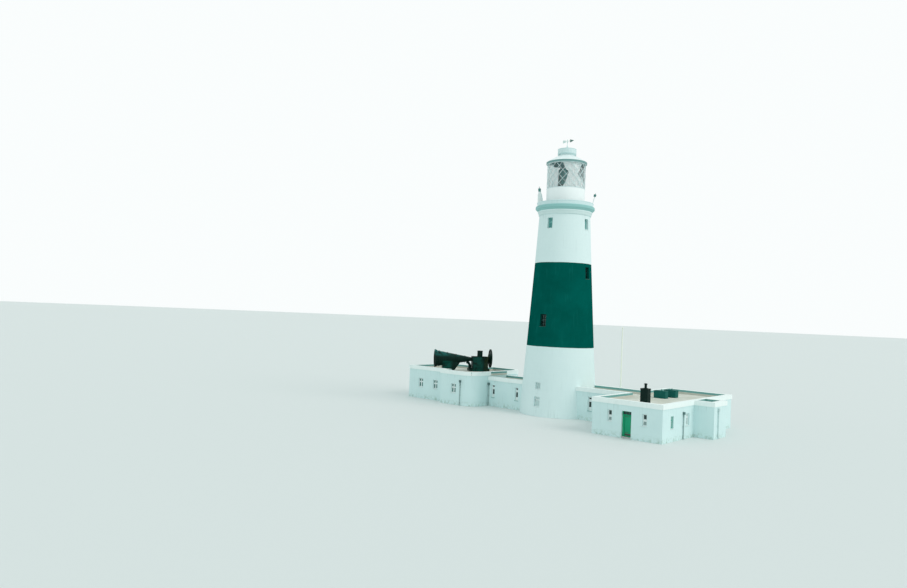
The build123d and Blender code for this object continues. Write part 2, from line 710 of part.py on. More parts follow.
# Copings: bands on the wall tops that stand a little proud, with open joints at the corners
def coping(x, y, base):
    """A coping over a straight wall whose plan is given, proud of it on both faces."""
    return block(x, y, (base, base + COPING_HEIGHT))


out = COPING_PROUD
back = WALL + COPING_PROUD
end_gap = out + STONE_JOINT
low_copings = []
for sign in (-1, 1):
    across = sorted((sign * (LINK_HALF_WIDTH + out), sign * (LINK_HALF_WIDTH - back)))
    low_copings.append(coping((0, DWELLING_LEFT - end_gap), across, LOW_WALL_TOP) - SHAFT)
    low_copings.append(coping((HORN_RIGHT + STONE_JOINT, 0), across, LOW_WALL_TOP) - SHAFT)
for face, sign in ((DWELLING_FRONT, -1), (DWELLING_REAR, 1)):
    end_run = (face - sign * back, face + sign * out)
    low_copings.append(coping((DWELLING_LEFT - out, DWELLING_RIGHT + out), end_run, LOW_WALL_TOP))
    side_run = (sign * (LINK_HALF_WIDTH - back), face - sign * (back + STONE_JOINT))
    low_copings.append(coping((DWELLING_LEFT - out, DWELLING_LEFT + back), side_run, LOW_WALL_TOP))
flank_x = (DWELLING_RIGHT - back, DWELLING_RIGHT + out)
flank_y = (DWELLING_FRONT + back + STONE_JOINT, DWELLING_REAR - back - STONE_JOINT)
low_copings.append(coping(flank_x, flank_y, LOW_WALL_TOP))
annex_x = (DWELLING_RIGHT + end_gap, ANNEX_RIGHT + out)
low_copings.append(coping(annex_x, (ANNEX_FRONT - out, ANNEX_FRONT + back), LOW_WALL_TOP))
low_copings.append(coping(annex_x, (ANNEX_REAR - back, ANNEX_REAR + out), LOW_WALL_TOP))
annex_y = (ANNEX_FRONT + back + STONE_JOINT, ANNEX_REAR - back - STONE_JOINT)
low_copings.append(coping((ANNEX_RIGHT - back, ANNEX_RIGHT + out), annex_y, LOW_WALL_TOP))
save("low_copings", Compound([s for bar in low_copings for s in bar.solids()]))

high_copings = []
for sign in (-1, 1):
    ends = sorted((sign * (HORN_HALF_LENGTH + out), sign * (HORN_HALF_LENGTH - back)))
    high_copings.append(coping((HORN_LEFT - out, straight_end - STONE_JOINT), ends, HIGH_WALL_TOP))
    bend = round_corner(
        sign, HORN_CORNER + out, HORN_CORNER - back, HIGH_WALL_TOP, HIGH_WALL_TOP + COPING_HEIGHT
    )
    high_copings.append(bend)
    run = sorted((sign * (WEST_HALF_WIDTH - back), sign * (HORN_HALF_LENGTH - back - STONE_JOINT)))
    high_copings.append(coping((HORN_LEFT - out, HORN_LEFT + back), run, HIGH_WALL_TOP))
    ends = sorted((sign * (WEST_HALF_WIDTH + out), sign * (WEST_HALF_WIDTH - back)))
    high_copings.append(coping((WEST_LEFT - out, HORN_LEFT - end_gap), ends, HIGH_WALL_TOP))
flank_end = corner_end - STONE_JOINT
high_copings.append(coping((HORN_RIGHT - back, HORN_RIGHT + out), (-flank_end, flank_end), HIGH_WALL_TOP))
west_y = WEST_HALF_WIDTH - back - STONE_JOINT
high_copings.append(coping((WEST_LEFT - out, WEST_LEFT + back), (-west_y, west_y), HIGH_WALL_TOP))
save("high_copings", Compound([s for bar in high_copings for s in bar.solids()]))

# Windows: every frame and pane of tower and wings
save("window_frames", Compound([s for frame in frames for s in frame.solids()]))
save("window_panes", Compound([s for pane in panes for s in pane.solids()]))

# Front door: frame with a side board and transom bar, fixed light over it, one leaf hung on its left edge
frame_front = DWELLING_FRONT + DOOR_REVEAL
frame_y = (frame_front, frame_front + DOOR_FRAME_DEPTH)
frame = block((door_left, door_right), frame_y, (FLOOR_TOP, DOOR_HEAD))
leaf_opening = (door_left + DOOR_FRAME + DOOR_SIDE_BOARD, door_right - DOOR_FRAME)
frame -= block(leaf_opening, frame_y, (FLOOR_TOP, DOOR_TRANSOM_BOTTOM))
light_bottom = DOOR_TRANSOM_BOTTOM + DOOR_TRANSOM_HEIGHT
light_x = (door_left + DOOR_FRAME, door_right - DOOR_FRAME)
light_z = (light_bottom, DOOR_HEAD - DOOR_FRAME)
frame -= block(light_x, frame_y, light_z)
light_middle = frame_front + DOOR_FRAME_DEPTH / 2
save(
    "door_fanlight",
    block(light_x, (light_middle - PANE_THICKNESS / 2, light_middle + PANE_THICKNESS / 2), light_z),
)
leaf_x = (leaf_opening[0] + DOOR_GAP, leaf_opening[1] - DOOR_GAP)
frame_back = frame_front + DOOR_FRAME_DEPTH
leaf = block(
    leaf_x,
    (frame_back - DOOR_LEAF_THICKNESS, frame_back),
    (FLOOR_TOP + DOOR_GAP, DOOR_TRANSOM_BOTTOM - DOOR_GAP),
)
pin_x = leaf_x[0] - DOOR_GAP / 2
pin_y = frame_back + HINGE_RADIUS
plate_y = (frame_back, frame_back + HINGE_PLATE)
for height in HINGE_HEIGHTS:
    middle = FLOOR_TOP + height
    half = HINGE_KNUCKLE / 2
    leaf += Pos(pin_x, pin_y, middle) * Cylinder(HINGE_RADIUS, HINGE_KNUCKLE)
    leaf += block((pin_x, pin_x + HINGE_WIDTH), plate_y, (middle - half, middle + half))
    for sign in (-1, 1):
        centre = middle + sign * (HINGE_KNUCKLE + HINGE_PLAY)
        frame += Pos(pin_x, pin_y, centre) * Cylinder(HINGE_RADIUS, HINGE_KNUCKLE)
        frame += block((pin_x - HINGE_WIDTH, pin_x), plate_y, (centre - half, centre + half))
save("door_frame", frame)
save("front_door", leaf)

# Roof plant on the dwelling: a square stack with a stub pipe, and two water tanks
stack_y = DWELLING_FRONT + STACK_BEHIND_FRONT
stack = Pos(STACK_X, stack_y, LOW_WALL_TOP) * Box(*STACK_SIZE, STACK_HEIGHT, align=UPRIGHT)
stub = Pos(STACK_X, stack_y, LOW_WALL_TOP + STACK_HEIGHT) * Cylinder(STUB_RADIUS, STUB_HEIGHT, align=UPRIGHT)
save("roof_stack", stack + stub)
tanks = [Pos(*place, LOW_WALL_TOP) * Box(*TANK_SIZE, align=UPRIGHT) for place in TANK_PLACES]
save("roof_tanks", Compound(tanks))

# Rainwater pipes with a hopper at the top, each against its wall
pipes = []
for x, y, angle, hopper_top in PIPES:
    stand = Pos(x, y, 0) * Rot(Z=angle)
    offset = PIPE_RADIUS + PIPE_STANDOFF
    pipe = Pos(offset, 0, PIPE_FOOT) * Cylinder(PIPE_RADIUS, hopper_top - PIPE_FOOT, align=UPRIGHT)
    hopper = Pos(HOPPER_SIZE[0] / 2, 0, hopper_top - HOPPER_SIZE[2]) * Box(*HOPPER_SIZE, align=UPRIGHT)
    pipes.append(stand * (pipe + hopper))
save("rainwater_pipes", Compound([s for pipe in pipes for s in pipe.solids()]))

# Flagstaff: a tapered pole behind the right link, held to its rear wall by two brackets
staff_x, staff_y = STAFF_PLACE
staff = Pos(staff_x, staff_y, 0) * Cone(STAFF_RADIUS, STAFF_RADIUS / 2, STAFF_HEIGHT, align=UPRIGHT)
half = STAFF_BRACKET / 2
for height in STAFF_BRACKET_HEIGHTS:
    bracket_z = (height - half, height + half)
    staff += block((staff_x - half, staff_x + half), (LINK_HALF_WIDTH, staff_y), bracket_z)
save("flagstaff", staff)


# Fog signal: everything lies along one line over the roof, modelled along X and then turned
def on_signal_line(shape):
    """Puts a piece modelled along X at roof height zero on the fog signal's line."""
    return Pos(*SIGNAL_PLACE, 0) * Rot(Z=SIGNAL_TURN) * shape


def trumpet(bell, cone, throat, mouth_at, bell_at, throat_at):
    """A hollow horn along -X: a cone from the throat, then a bell that opens to a thick rim."""
    middle = (bell_at + mouth_at) / 2
    bulge = (bell + cone) / 2 - (bell - cone) * BELL_HOLLOW
    edges = []
    for thickness in (0, TRUMPET_WALL):
        start = (-throat_at, 0, throat - thickness)
        neck = (-bell_at, 0, cone - thickness)
        mouth = (-mouth_at, 0, bell - thickness)
        edges += [Line(start, neck), ThreePointArc(neck, (-middle, 0, bulge - thickness), mouth)]
    edges.append(Line((-throat_at, 0, throat), (-throat_at, 0, throat - TRUMPET_WALL)))
    edges.append(Line((-mouth_at, 0, bell), (-mouth_at, 0, bell - TRUMPET_WALL)))
    shell = revolve(Face(Wire.combine(edges)[0]), axis=Axis.X)
    inner = bell - TRUMPET_WALL
    rim = Cylinder(inner + RIM_THICKNESS, RIM_DEPTH) - Cylinder(inner, RIM_DEPTH)
    return Pos(0, 0, SIGNAL_AXIS) * (shell + Pos(RIM_DEPTH / 2 - mouth_at, 0, 0) * Rot(Y=90) * rim)


housing_end = HOUSING_START + HOUSING_LENGTH
short_mouth = housing_end + SHORT_FLARE
long_horn = trumpet(
    LONG_BELL_RADIUS, LONG_CONE_RADIUS, THROAT_RADIUS, LONG_MOUTH, LONG_BELL_START, -HOUSING_START
)
short_horn = trumpet(
    SHORT_BELL_RADIUS,
    SHORT_CONE_RADIUS,
    SHORT_THROAT_RADIUS,
    short_mouth,
    short_mouth - SHORT_BELL_DEPTH,
    housing_end,
)
save("long_horn", on_signal_line(long_horn))
save("short_horn", on_signal_line(Pos(0, 0, SHORT_AXIS_LIFT) * Rot(Z=180) * short_horn))
cradle_top = HIGH_WALL_TOP + CRADLE_HEIGHT
cradle_side = outline(
    [
        (-CRADLE_START - CRADLE_LENGTH, HIGH_WALL_TOP),
        (-CRADLE_START, HIGH_WALL_TOP),
        (CRADLE_FLARE - CRADLE_START, cradle_top),
        (-CRADLE_START - CRADLE_LENGTH, cradle_top),
    ]
)
cradle = extrude(cradle_side, CRADLE_WIDTH / 2, dir=(0, 1, 0), both=True)
cone_length = LONG_BELL_START + HOUSING_START
cone_solid = Cone(
    LONG_CONE_RADIUS + SEAT_CLEARANCE, THROAT_RADIUS + SEAT_CLEARANCE, cone_length, align=UPRIGHT
)
horn_cone = Pos(-LONG_BELL_START, 0, SIGNAL_AXIS) * Rot(Y=90) * cone_solid
save("horn_cradle", on_signal_line(cradle - horn_cone))
base_top = HIGH_WALL_TOP + BASE_HEIGHT
base_half = BASE_WIDTH / 2
base_x = (HOUSING_START - BASE_FRONT, housing_end + BASE_BACK)
housing_top = HIGH_WALL_TOP + HOUSING_HEIGHT
housing_half = HOUSING_WIDTH / 2
housing = block(base_x, (-base_half, base_half), (HIGH_WALL_TOP, base_top))
housing += block((HOUSING_START, housing_end), (-housing_half, housing_half), (base_top, housing_top))
save("signal_housing", on_signal_line(housing))
cap = Pos(CAP_PLACE, 0, housing_top) * Cylinder(CAP_RADIUS, CAP_HEIGHT, align=UPRIGHT)
save("housing_cap", on_signal_line(cap))
bend_z = SIGNAL_AXIS - THROAT_RADIUS - FEED_RADIUS - BEND_RADIUS
elbow = revolve(
    Pos(FEED_PLACE, 0, bend_z) * Circle(FEED_RADIUS),
    axis=Axis((FEED_PLACE - BEND_RADIUS, 0, bend_z), (0, -1, 0)),
    revolution_arc=90,
)
feed = Pos(FEED_PLACE, 0, base_top) * Cylinder(FEED_RADIUS, bend_z - base_top, align=UPRIGHT)
save("horn_bend", on_signal_line((elbow + feed) - horn_cone))

os.makedirs("parts", exist_ok=True)
for name, shape in parts.items():
    export_step(shape, f"parts/{name}.step")
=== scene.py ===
from math import asin, cos, pi, radians, sin

import bpy
from mathutils import Matrix, Vector


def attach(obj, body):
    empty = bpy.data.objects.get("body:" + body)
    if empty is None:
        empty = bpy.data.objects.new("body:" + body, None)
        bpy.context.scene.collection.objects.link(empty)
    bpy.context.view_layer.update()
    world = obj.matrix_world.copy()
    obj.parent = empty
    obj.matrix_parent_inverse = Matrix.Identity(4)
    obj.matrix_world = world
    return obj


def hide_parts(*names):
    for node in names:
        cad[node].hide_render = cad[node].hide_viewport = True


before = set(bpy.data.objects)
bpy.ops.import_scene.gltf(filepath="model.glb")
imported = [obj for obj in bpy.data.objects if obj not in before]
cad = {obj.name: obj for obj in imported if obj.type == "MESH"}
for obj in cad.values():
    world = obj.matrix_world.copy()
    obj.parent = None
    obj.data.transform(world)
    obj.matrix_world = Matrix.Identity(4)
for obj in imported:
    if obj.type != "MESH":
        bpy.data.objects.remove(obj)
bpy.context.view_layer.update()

# Camera: eleven metres above the ground, ahead of the front and well to the right of the dwelling. It
# looks a little upwards and leans slightly, as a hand-held camera does.
EYE = Vector((45.58, -69.30, 11.0))
HEADING = radians(42.073)
RISE = radians(1.6155)
LEAN = radians(2.365)
FOCAL_LENGTH = 27.98
FILM_WIDTH = 36
SIGHT = 3000
ahead = Vector((-sin(HEADING) * cos(RISE), cos(HEADING) * cos(RISE), sin(RISE)))
aside = Vector((cos(HEADING), sin(HEADING), 0))
above = aside.cross(ahead)
bpy.ops.object.camera_add()
camera = bpy.context.object
camera.name = "eye"
camera.data.sensor_width = FILM_WIDTH
camera.data.lens = FOCAL_LENGTH
camera.data.clip_end = SIGHT
across = aside * cos(LEAN) + above * sin(LEAN)
upward = above * cos(LEAN) - aside * sin(LEAN)
camera.matrix_world = Matrix(
    (
        (across.x, upward.x, -ahead.x, EYE.x),
        (across.y, upward.y, -ahead.y, EYE.y),
        (across.z, upward.z, -ahead.z, EYE.z),
        (0, 0, 0, 1),
    )
)
bpy.context.scene.camera = camera
bpy.context.scene.view_settings.view_transform = "Standard"

# Light: a pale overcast sky all round, and one broad soft lamp that stands high on the right, so that
# right-hand walls are the brightest and the front lies in light shade.
SKY_LIGHT = (0.90, 1.0, 1.0, 1)
SKY_LEVEL = 0.84
SKY_SEEN = (0.955, 0.985, 0.985, 1)
LAMP_LEVEL = 0.95
LAMP_LIGHT = (1.0, 0.90, 0.88)
LAMP_SPREAD = radians(30)
LAMP_FROM = Vector((0.80, 0.14, 0.62))
LAMP_STAND = (60, -20, 60)
world = bpy.data.worlds.new("overcast")
world.use_nodes = True
bpy.context.scene.world = world
sky = world.node_tree
lit = sky.nodes["Background"]
lit.inputs["Color"].default_value = SKY_LIGHT
lit.inputs["Strength"].default_value = SKY_LEVEL
seen = sky.nodes.new("ShaderNodeBackground")
seen.inputs["Color"].default_value = SKY_SEEN
seen.inputs["Strength"].default_value = 1
ray = sky.nodes.new("ShaderNodeLightPath")
choice = sky.nodes.new("ShaderNodeMixShader")
direct = sky.nodes.new("ShaderNodeMath")
direct.operation = "MAXIMUM"
through = sky.nodes.new("ShaderNodeMath")
through.operation = "MAXIMUM"
for giver, taker in (
    (ray.outputs["Is Camera Ray"], direct.inputs[0]),
    (ray.outputs["Is Glossy Ray"], direct.inputs[1]),
    (direct.outputs[0], through.inputs[0]),
    (ray.outputs["Is Transmission Ray"], through.inputs[1]),
    (through.outputs[0], choice.inputs[0]),
    (lit.outputs[0], choice.inputs[1]),
    (seen.outputs[0], choice.inputs[2]),
    (choice.outputs[0], sky.nodes["World Output"].inputs["Surface"]),
):
    sky.links.new(giver, taker)
bpy.ops.object.light_add(type="SUN", location=LAMP_STAND)
lamp = bpy.context.object
lamp.name = "soft_lamp"
lamp.data.energy = LAMP_LEVEL
lamp.data.color = LAMP_LIGHT
lamp.data.angle = LAMP_SPREAD
lamp.rotation_euler = LAMP_FROM.to_track_quat("Z", "Y").to_euler()


class Wire:
    """A value on its way through the nodes of a finish. Sums and products of wires add their own nodes."""

    def __init__(self, finish, socket):
        self.finish = finish
        self.socket = socket

    def maths(self, operation, first, second=0.0):
        return self.finish.node("ShaderNodeMath", {"operation": operation}, {0: first, 1: second})

    def __add__(self, other):
        return self.maths("ADD", self, other)

    def __radd__(self, other):
        return self.maths("ADD", other, self)

    def __sub__(self, other):
        return self.maths("SUBTRACT", self, other)

    def __rsub__(self, other):
        return self.maths("SUBTRACT", other, self)

    def __mul__(self, other):
        return self.maths("MULTIPLY", self, other)

    def __rmul__(self, other):
        return self.maths("MULTIPLY", other, self)

    def __abs__(self):
        return self.maths("ABSOLUTE", self)

    def rising(self, low, high):
        """0 below one level and 1 above another, eased between; falling where low is above high."""
        inputs = {"Value": self, "From Min": low, "From Max": high}
        return self.finish.node("ShaderNodeMapRange", {"interpolation_type": "SMOOTHSTEP"}, inputs)

    def between(self, low, high, ease):
        """1 between two levels and 0 outside them, eased within each."""
        return self.rising(low, low + ease) * self.rising(high, high - ease)


class Finish:
    """One paint or other finish: its nodes, and the surface that they feed."""

    def __init__(self, name):
        self.paint = bpy.data.materials.new(name)
        self.paint.use_nodes = True
        self.tree = self.paint.node_tree
        self.surface = self.tree.nodes["Principled BSDF"]
        self.place = self.node("ShaderNodeTexCoord", {}, {}, "Object")
        self.x = self.node("ShaderNodeSeparateXYZ", {}, {0: self.place}, "X")
        self.y = self.node("ShaderNodeSeparateXYZ", {}, {0: self.place}, "Y")
        self.z = self.node("ShaderNodeSeparateXYZ", {}, {0: self.place}, "Z")

    def node(self, kind, settings, inputs, output=0):
        """Any node: its type, its settings, the values or wires of its sockets, and the output wanted."""
        made = self.tree.nodes.new(kind)
        for key, value in settings.items():
            setattr(made, key, value)
        for key, value in inputs.items():
            self.feed(made.inputs[key], value)
        return Wire(self, made.outputs[output])

    def feed(self, socket, value):
        if isinstance(value, Wire):
            self.tree.links.new(value.socket, socket)
        elif socket.type == "RGBA":
            socket.default_value = (*value[:3], 1)
        else:
            socket.default_value = value

    def set(self, **values):
        """Feeds the surface: base_color, roughness, metallic, normal and so on."""
        for key, value in values.items():
            self.feed(self.surface.inputs[key.replace("_", " ").title().replace("Ior", "IOR")], value)

    def at(self, scale):
        """The place on the object, stretched by a scale along each axis."""
        return self.node("ShaderNodeMapping", {}, {"Vector": self.place, "Scale": scale})

    def noise(self, size, detail, along=(1, 1, 1), rough=0.55):
        """Cloudy variation from 0 to 1, with patches of a size in metres."""
        inputs = {"Vector": self.at(tuple(a / size for a in along)), "Scale": 1.0, "Detail": detail}
        return self.node("ShaderNodeTexNoise", {}, inputs | {"Roughness": rough})

    def colour(self, share, plain, other):
        return self.node("ShaderNodeMix", {"data_type": "RGBA"}, {0: share, 6: plain, 7: other}, 2)

    def layered(self, plain, *layers):
        """A plain colour with others laid over it in turn, each as its share and its colour."""
        for share, other in layers:
            plain = self.colour(share, plain, other)
        return plain

    def relief(self, height, depth, strength=1.0):
        """A surface that stands up with a height wire, whose 0 to 1 is a depth in metres."""
        return self.node("ShaderNodeBump", {}, {"Height": height, "Distance": depth, "Strength": strength})

    def worn(self, colour, wear, roughness, spread, depth):
        """Feeds the surface with one kind of wear, which roughens it by up to a spread and lifts it."""
        self.set(base_color=colour, roughness=roughness + wear * spread, normal=self.relief(wear, depth))


def painted(finish, *nodes):
    """Gives nodes of the frame their finish."""
    for node in nodes:
        for slot in cad[node].material_slots:
            slot.material = finish.paint


# Floor: a plain pale sheet with no marks, a hair under the foot of the walls. It only carries the
# building's shadow.
FLOOR_REACH = 1500
FLOOR_LEVEL = -0.003
floor_finish = Finish("pale_floor")
floor_finish.set(base_color=(0.70, 0.75, 0.74), roughness=0.9)


def cleared():
    """Nothing selected, so that the next step acts on one piece alone."""
    bpy.ops.object.select_all(action="DESELECT")


cleared()
bpy.ops.mesh.primitive_circle_add(
    vertices=128, radius=FLOOR_REACH, fill_type="NGON", location=(0, 0, FLOOR_LEVEL)
)
floor = bpy.context.object
floor.name = "floor"
floor.data.materials.append(floor_finish.paint)

# Tower shaft: coursed granite blocks under many coats of masonry paint, white with one broad dark green
# band. Joints show faintly through the paint, and rain has drawn pale grey streaks below the cornice.
BAND_FOOT = 7.76
BAND_HEAD = 17.30
BAND_EDGE = 0.024
COURSE = 0.42
BLOCK_LENGTH = 0.95
JOINT = 0.007
MEAN_RADIUS = 3.6
WHITE_PAINT = (0.735, 0.88, 0.875)
BAND_PAINT = (0.0004, 0.084, 0.067)
STREAK = (0.46, 0.60, 0.58)


def streaks(finish, width):
    """Upright runs of dirt, a width apart, that fade in and out up the wall."""
    runs = finish.noise(width, 2.0, (1, 1, 0.06))
    clouds = finish.noise(1.7, 3.0)
    return runs.rising(0.52, 0.72) * clouds.rising(0.40, 0.65)


def roughcast(finish, lump):
    """The small lumps of render or stone under paint, from coarse to fine."""
    return finish.noise(lump, 4.0, rough=0.7) * 0.7 + finish.noise(lump / 6, 2.0) * 0.3


def coursing(finish, place, length, height, joint, output="Fac"):
    """Courses of blocks or strips, each laid half a length off the one below, with their joints."""
    laid = {"Vector": place, "Scale": 1.0, "Brick Width": length, "Row Height": height}
    return finish.node("ShaderNodeTexBrick", {"offset": 0.5}, laid | joint, output)


tower = Finish("tower_paint")
turn = tower.node("ShaderNodeMath", {"operation": "ARCTAN2"}, {0: tower.y, 1: tower.x})
wrapped = tower.node("ShaderNodeCombineXYZ", {}, {"X": turn * MEAN_RADIUS, "Y": tower.z, "Z": 0.0})
joints = coursing(tower, wrapped, BLOCK_LENGTH, COURSE, {"Mortar Size": JOINT, "Mortar Smooth": 0.7})
two_tones = {"Mortar Size": 0.0, "Color1": (0, 0, 0), "Color2": (1, 1, 1)}
blocks = coursing(tower, wrapped, BLOCK_LENGTH, COURSE, two_tones, "Color")
brushed_height = tower.z + (tower.noise(0.9, 3.0) - 0.5) * 0.05
in_band = brushed_height.between(BAND_FOOT - BAND_EDGE / 2, BAND_HEAD + BAND_EDGE / 2, BAND_EDGE)
clouds = tower.noise(2.4, 4.0)
dirt = streaks(tower, 0.22)
below_cornice = tower.z.rising(20.6, 22.9)
splashed = tower.z.rising(1.1, 0.1)
white = tower.layered(
    WHITE_PAINT,
    (clouds.rising(0.3, 0.75) * 0.16, (0.62, 0.78, 0.79)),
    (dirt * (below_cornice * 0.35 + splashed * 0.5 + 0.10), STREAK),
    (joints * 0.10, (0.50, 0.62, 0.61)),
)
band = tower.layered(
    BAND_PAINT,
    (clouds.rising(0.35, 0.75) * 0.40, (0.001, 0.135, 0.112)),
    (blocks * 0.16, (0.001, 0.112, 0.096)),
    (dirt * 0.22, (0.012, 0.175, 0.15)),
)
grain = roughcast(tower, 0.05)
tower.set(
    base_color=tower.colour(in_band, white, band),
    roughness=0.62 - in_band * 0.14 + (grain - 0.5) * 0.2,
    normal=tower.relief(grain * 0.35 + (1 - joints) * 0.5 + clouds * 0.3, 0.006, 0.8),
    specular_ior_level=0.0,
)
painted(tower, "tower_front_wall", "tower_left_wall", "tower_rear_wall", "tower_right_wall")

# Floors: the gallery deck, the tower's and wings' floors and the door step are floated concrete, worn
# smooth and a little darker where water stands. The deck's outer edge is painted with the tower.
FLOAT_GREY = (0.40, 0.43, 0.42)
screed = Finish("floated_concrete")
patches = screed.noise(0.8, 5.0)
specks = screed.noise(0.012, 2.0)
DECK_TOP = 23.449
DECK_REACH_SQUARED = 9.42
deck_edge = (screed.x * screed.x + screed.y * screed.y).rising(DECK_REACH_SQUARED, DECK_REACH_SQUARED + 0.08)
deck_edge = deck_edge * screed.z.rising(22.0, 22.1) * screed.z.rising(DECK_TOP, DECK_TOP - 0.004)
screed_colour = screed.layered(
    FLOAT_GREY,
    (patches.rising(0.35, 0.7), (0.52, 0.55, 0.53)),
    (specks.rising(0.6, 0.7) * 0.3, (0.24, 0.26, 0.25)),
    (deck_edge, WHITE_PAINT),
)
screed.set(
    base_color=screed_colour,
    roughness=0.75 + (patches - 0.5) * 0.25,
    normal=screed.relief(specks * 0.5 + patches * 0.5, 0.002),
)
painted(screed, "gallery_floor", "tower_floors", "wing_floors", "door_step")


def block(name, centre, size, ease):
    """A block set at its size and place, with its edges eased."""
    cleared()
    bpy.ops.mesh.primitive_cube_add(size=1, location=centre)
    piece = bpy.context.object
    piece.name = name
    piece.scale = size
    bpy.ops.object.transform_apply(location=True, rotation=True, scale=True)
    bpy.ops.object.mode_set(mode="EDIT")
    bpy.ops.mesh.select_all(action="SELECT")
    bpy.ops.mesh.bevel(offset=ease, segments=2, affect="EDGES", clamp_overlap=True)
    bpy.ops.object.mode_set(mode="OBJECT")
    return piece


def joined(name, pieces):
    """Several pieces as one."""
    if len(pieces) > 1:
        cleared()
        for piece in pieces:
            piece.select_set(True)
        bpy.context.view_layer.objects.active = pieces[0]
        bpy.ops.object.join()
    pieces[0].name = name
    return pieces[0]


def copied(name, piece, places):
    """Copies of a piece, each with its own mesh, set at their places and joined."""
    copies = []
    for place in places:
        twin = piece.copy()
        twin.data = piece.data.copy()
        twin.data.transform(place)
        bpy.context.collection.objects.link(twin)
        copies.append(twin)
    bpy.data.objects.remove(piece)
    return joined(name, copies)


def fitted(piece, finish, body="lighthouse", crease=32):
    """Gives a finished piece its finish, and fixes it to the building or to what turns."""
    cleared()
    piece.select_set(True)
    bpy.context.view_layer.objects.active = piece
    bpy.ops.object.shade_smooth_by_angle(angle=radians(crease))
    piece.data.materials.clear()
    piece.data.materials.append(finish.paint)
    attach(piece, body)
    return piece


# Windows: painted timber frames deep in their reveals, each with a fixed upper light over a casement, on
# a sloped sill that throws the rain clear. Frames in the tower's band are dark, the others white.
# A window is sill height, clear height, clear width, depth of its reveal, mullions, transoms, apron, and
# how thick its mullions and transoms are.
FOOT = (1.08, 1.09, 0.76, 0.30, (), (0.72,), 0, 0.07)
SMALL = (3.03, 0.71, 0.67, 0.30, (), (), 0, 0.07)
LOW_STAIR = (10.04, 1.35, 0.80, 0.30, (0.40,), (0.45, 0.90), 0, 0.065)
HIGH_STAIR = (15.60, 1.30, 0.76, 0.30, (0.38,), (0.43, 0.86), 0, 0.065)
SERVICE = (21.20, 1.20, 0.68, 0.30, (), (0.70,), 0, 0.09)
NARROW = (1.43, 1.08, 0.45, 0.12, (), (0.485,), 0, 0.17)
TALL = (1.10, 1.50, 0.45, 0.12, (), (1.10,), 0.30, 0.24)
PAIRED = (1.43, 1.12, 0.78, 0.12, (0.39,), (0.66,), 0, 0.11)
SIDE_NARROW = (1.25, 1.12, 0.60, 0.12, (), (0.74,), 0, 0.07)
SIDE_WIDE = (1.25, 1.15, 0.80, 0.12, (0.40,), (0.76,), 0, 0.09)
FRONT, RIGHT, REAR, LEFT = 270, 0, 90, 180
# The faces of the wings' walls, from the tower's axis
LINK_FACE = 2.0
SIGNAL_FACE = 5.1
WEST_FACE = 4.0
WEST_END = -20.5
DWELLING_FRONT, DWELLING_REAR = -8.9, 7.5
DWELLING_LEFT, DWELLING_RIGHT = 9.85, 17.1
# The tower's face is 4.40 m from the axis at the ground and draws in over these heights
FACE = ((0, 4.40), (7.76, 3.85), (17.30, 3.245), (23.20, 2.91))


def face_radius(height):
    """How far the tower's face is from its axis at a height."""
    for (low, wide), (high, narrow) in zip(FACE, FACE[1:]):
        if height <= high:
            return wide + (narrow - wide) * (height - low) / (high - low)


def tower_window(side, kind):
    """The place of a window in the tower: on its face, in the middle of a side."""
    face = face_radius(kind[0] + kind[1] / 2)
    return kind, (face * cos(radians(side)), face * sin(radians(side))), side


windows = [
    tower_window(side, kind)
    for side, kinds in (
        (FRONT, (FOOT, SMALL, LOW_STAIR, SERVICE)),
        (RIGHT, (HIGH_STAIR, SERVICE)),
        (REAR, (LOW_STAIR, SERVICE)),
        (LEFT, (HIGH_STAIR, SERVICE)),
    )
    for kind in kinds
]
for sign, side in ((-1, FRONT), (1, REAR)):
    windows += [(TALL, (x, sign * LINK_FACE), side) for x in (5.4, -8.04, -4.52)]
    windows += [(PAIRED, (-11.78, sign * SIGNAL_FACE), side)]
    windows += [(PAIRED, (x, sign * WEST_FACE), side) for x in (-18.42, -15.87)]
    windows += [(PAIRED, (WEST_END, sign * 1.8), LEFT)]
for end, side in ((DWELLING_FRONT, FRONT), (DWELLING_REAR, REAR)):
    windows += [(NARROW, (x, end), side) for x in (11.74, 15.34)]
windows += [(NARROW, (DWELLING_LEFT, y), LEFT) for y in (-5.5, 5.0)]
windows += [(SIDE_NARROW, (DWELLING_RIGHT, y), RIGHT) for y in (-6.9, 5.9)]
windows += [(SIDE_WIDE, (DWELLING_RIGHT, y), RIGHT) for y in (-3.55, 2.9)]

FRAME_FACE = 0.06
BAR_DEPTH = 0.056
SASH = 0.028
SASH_DEPTH = 0.042
SILL_NOSE = 0.06
SILL_FALL = 0.018


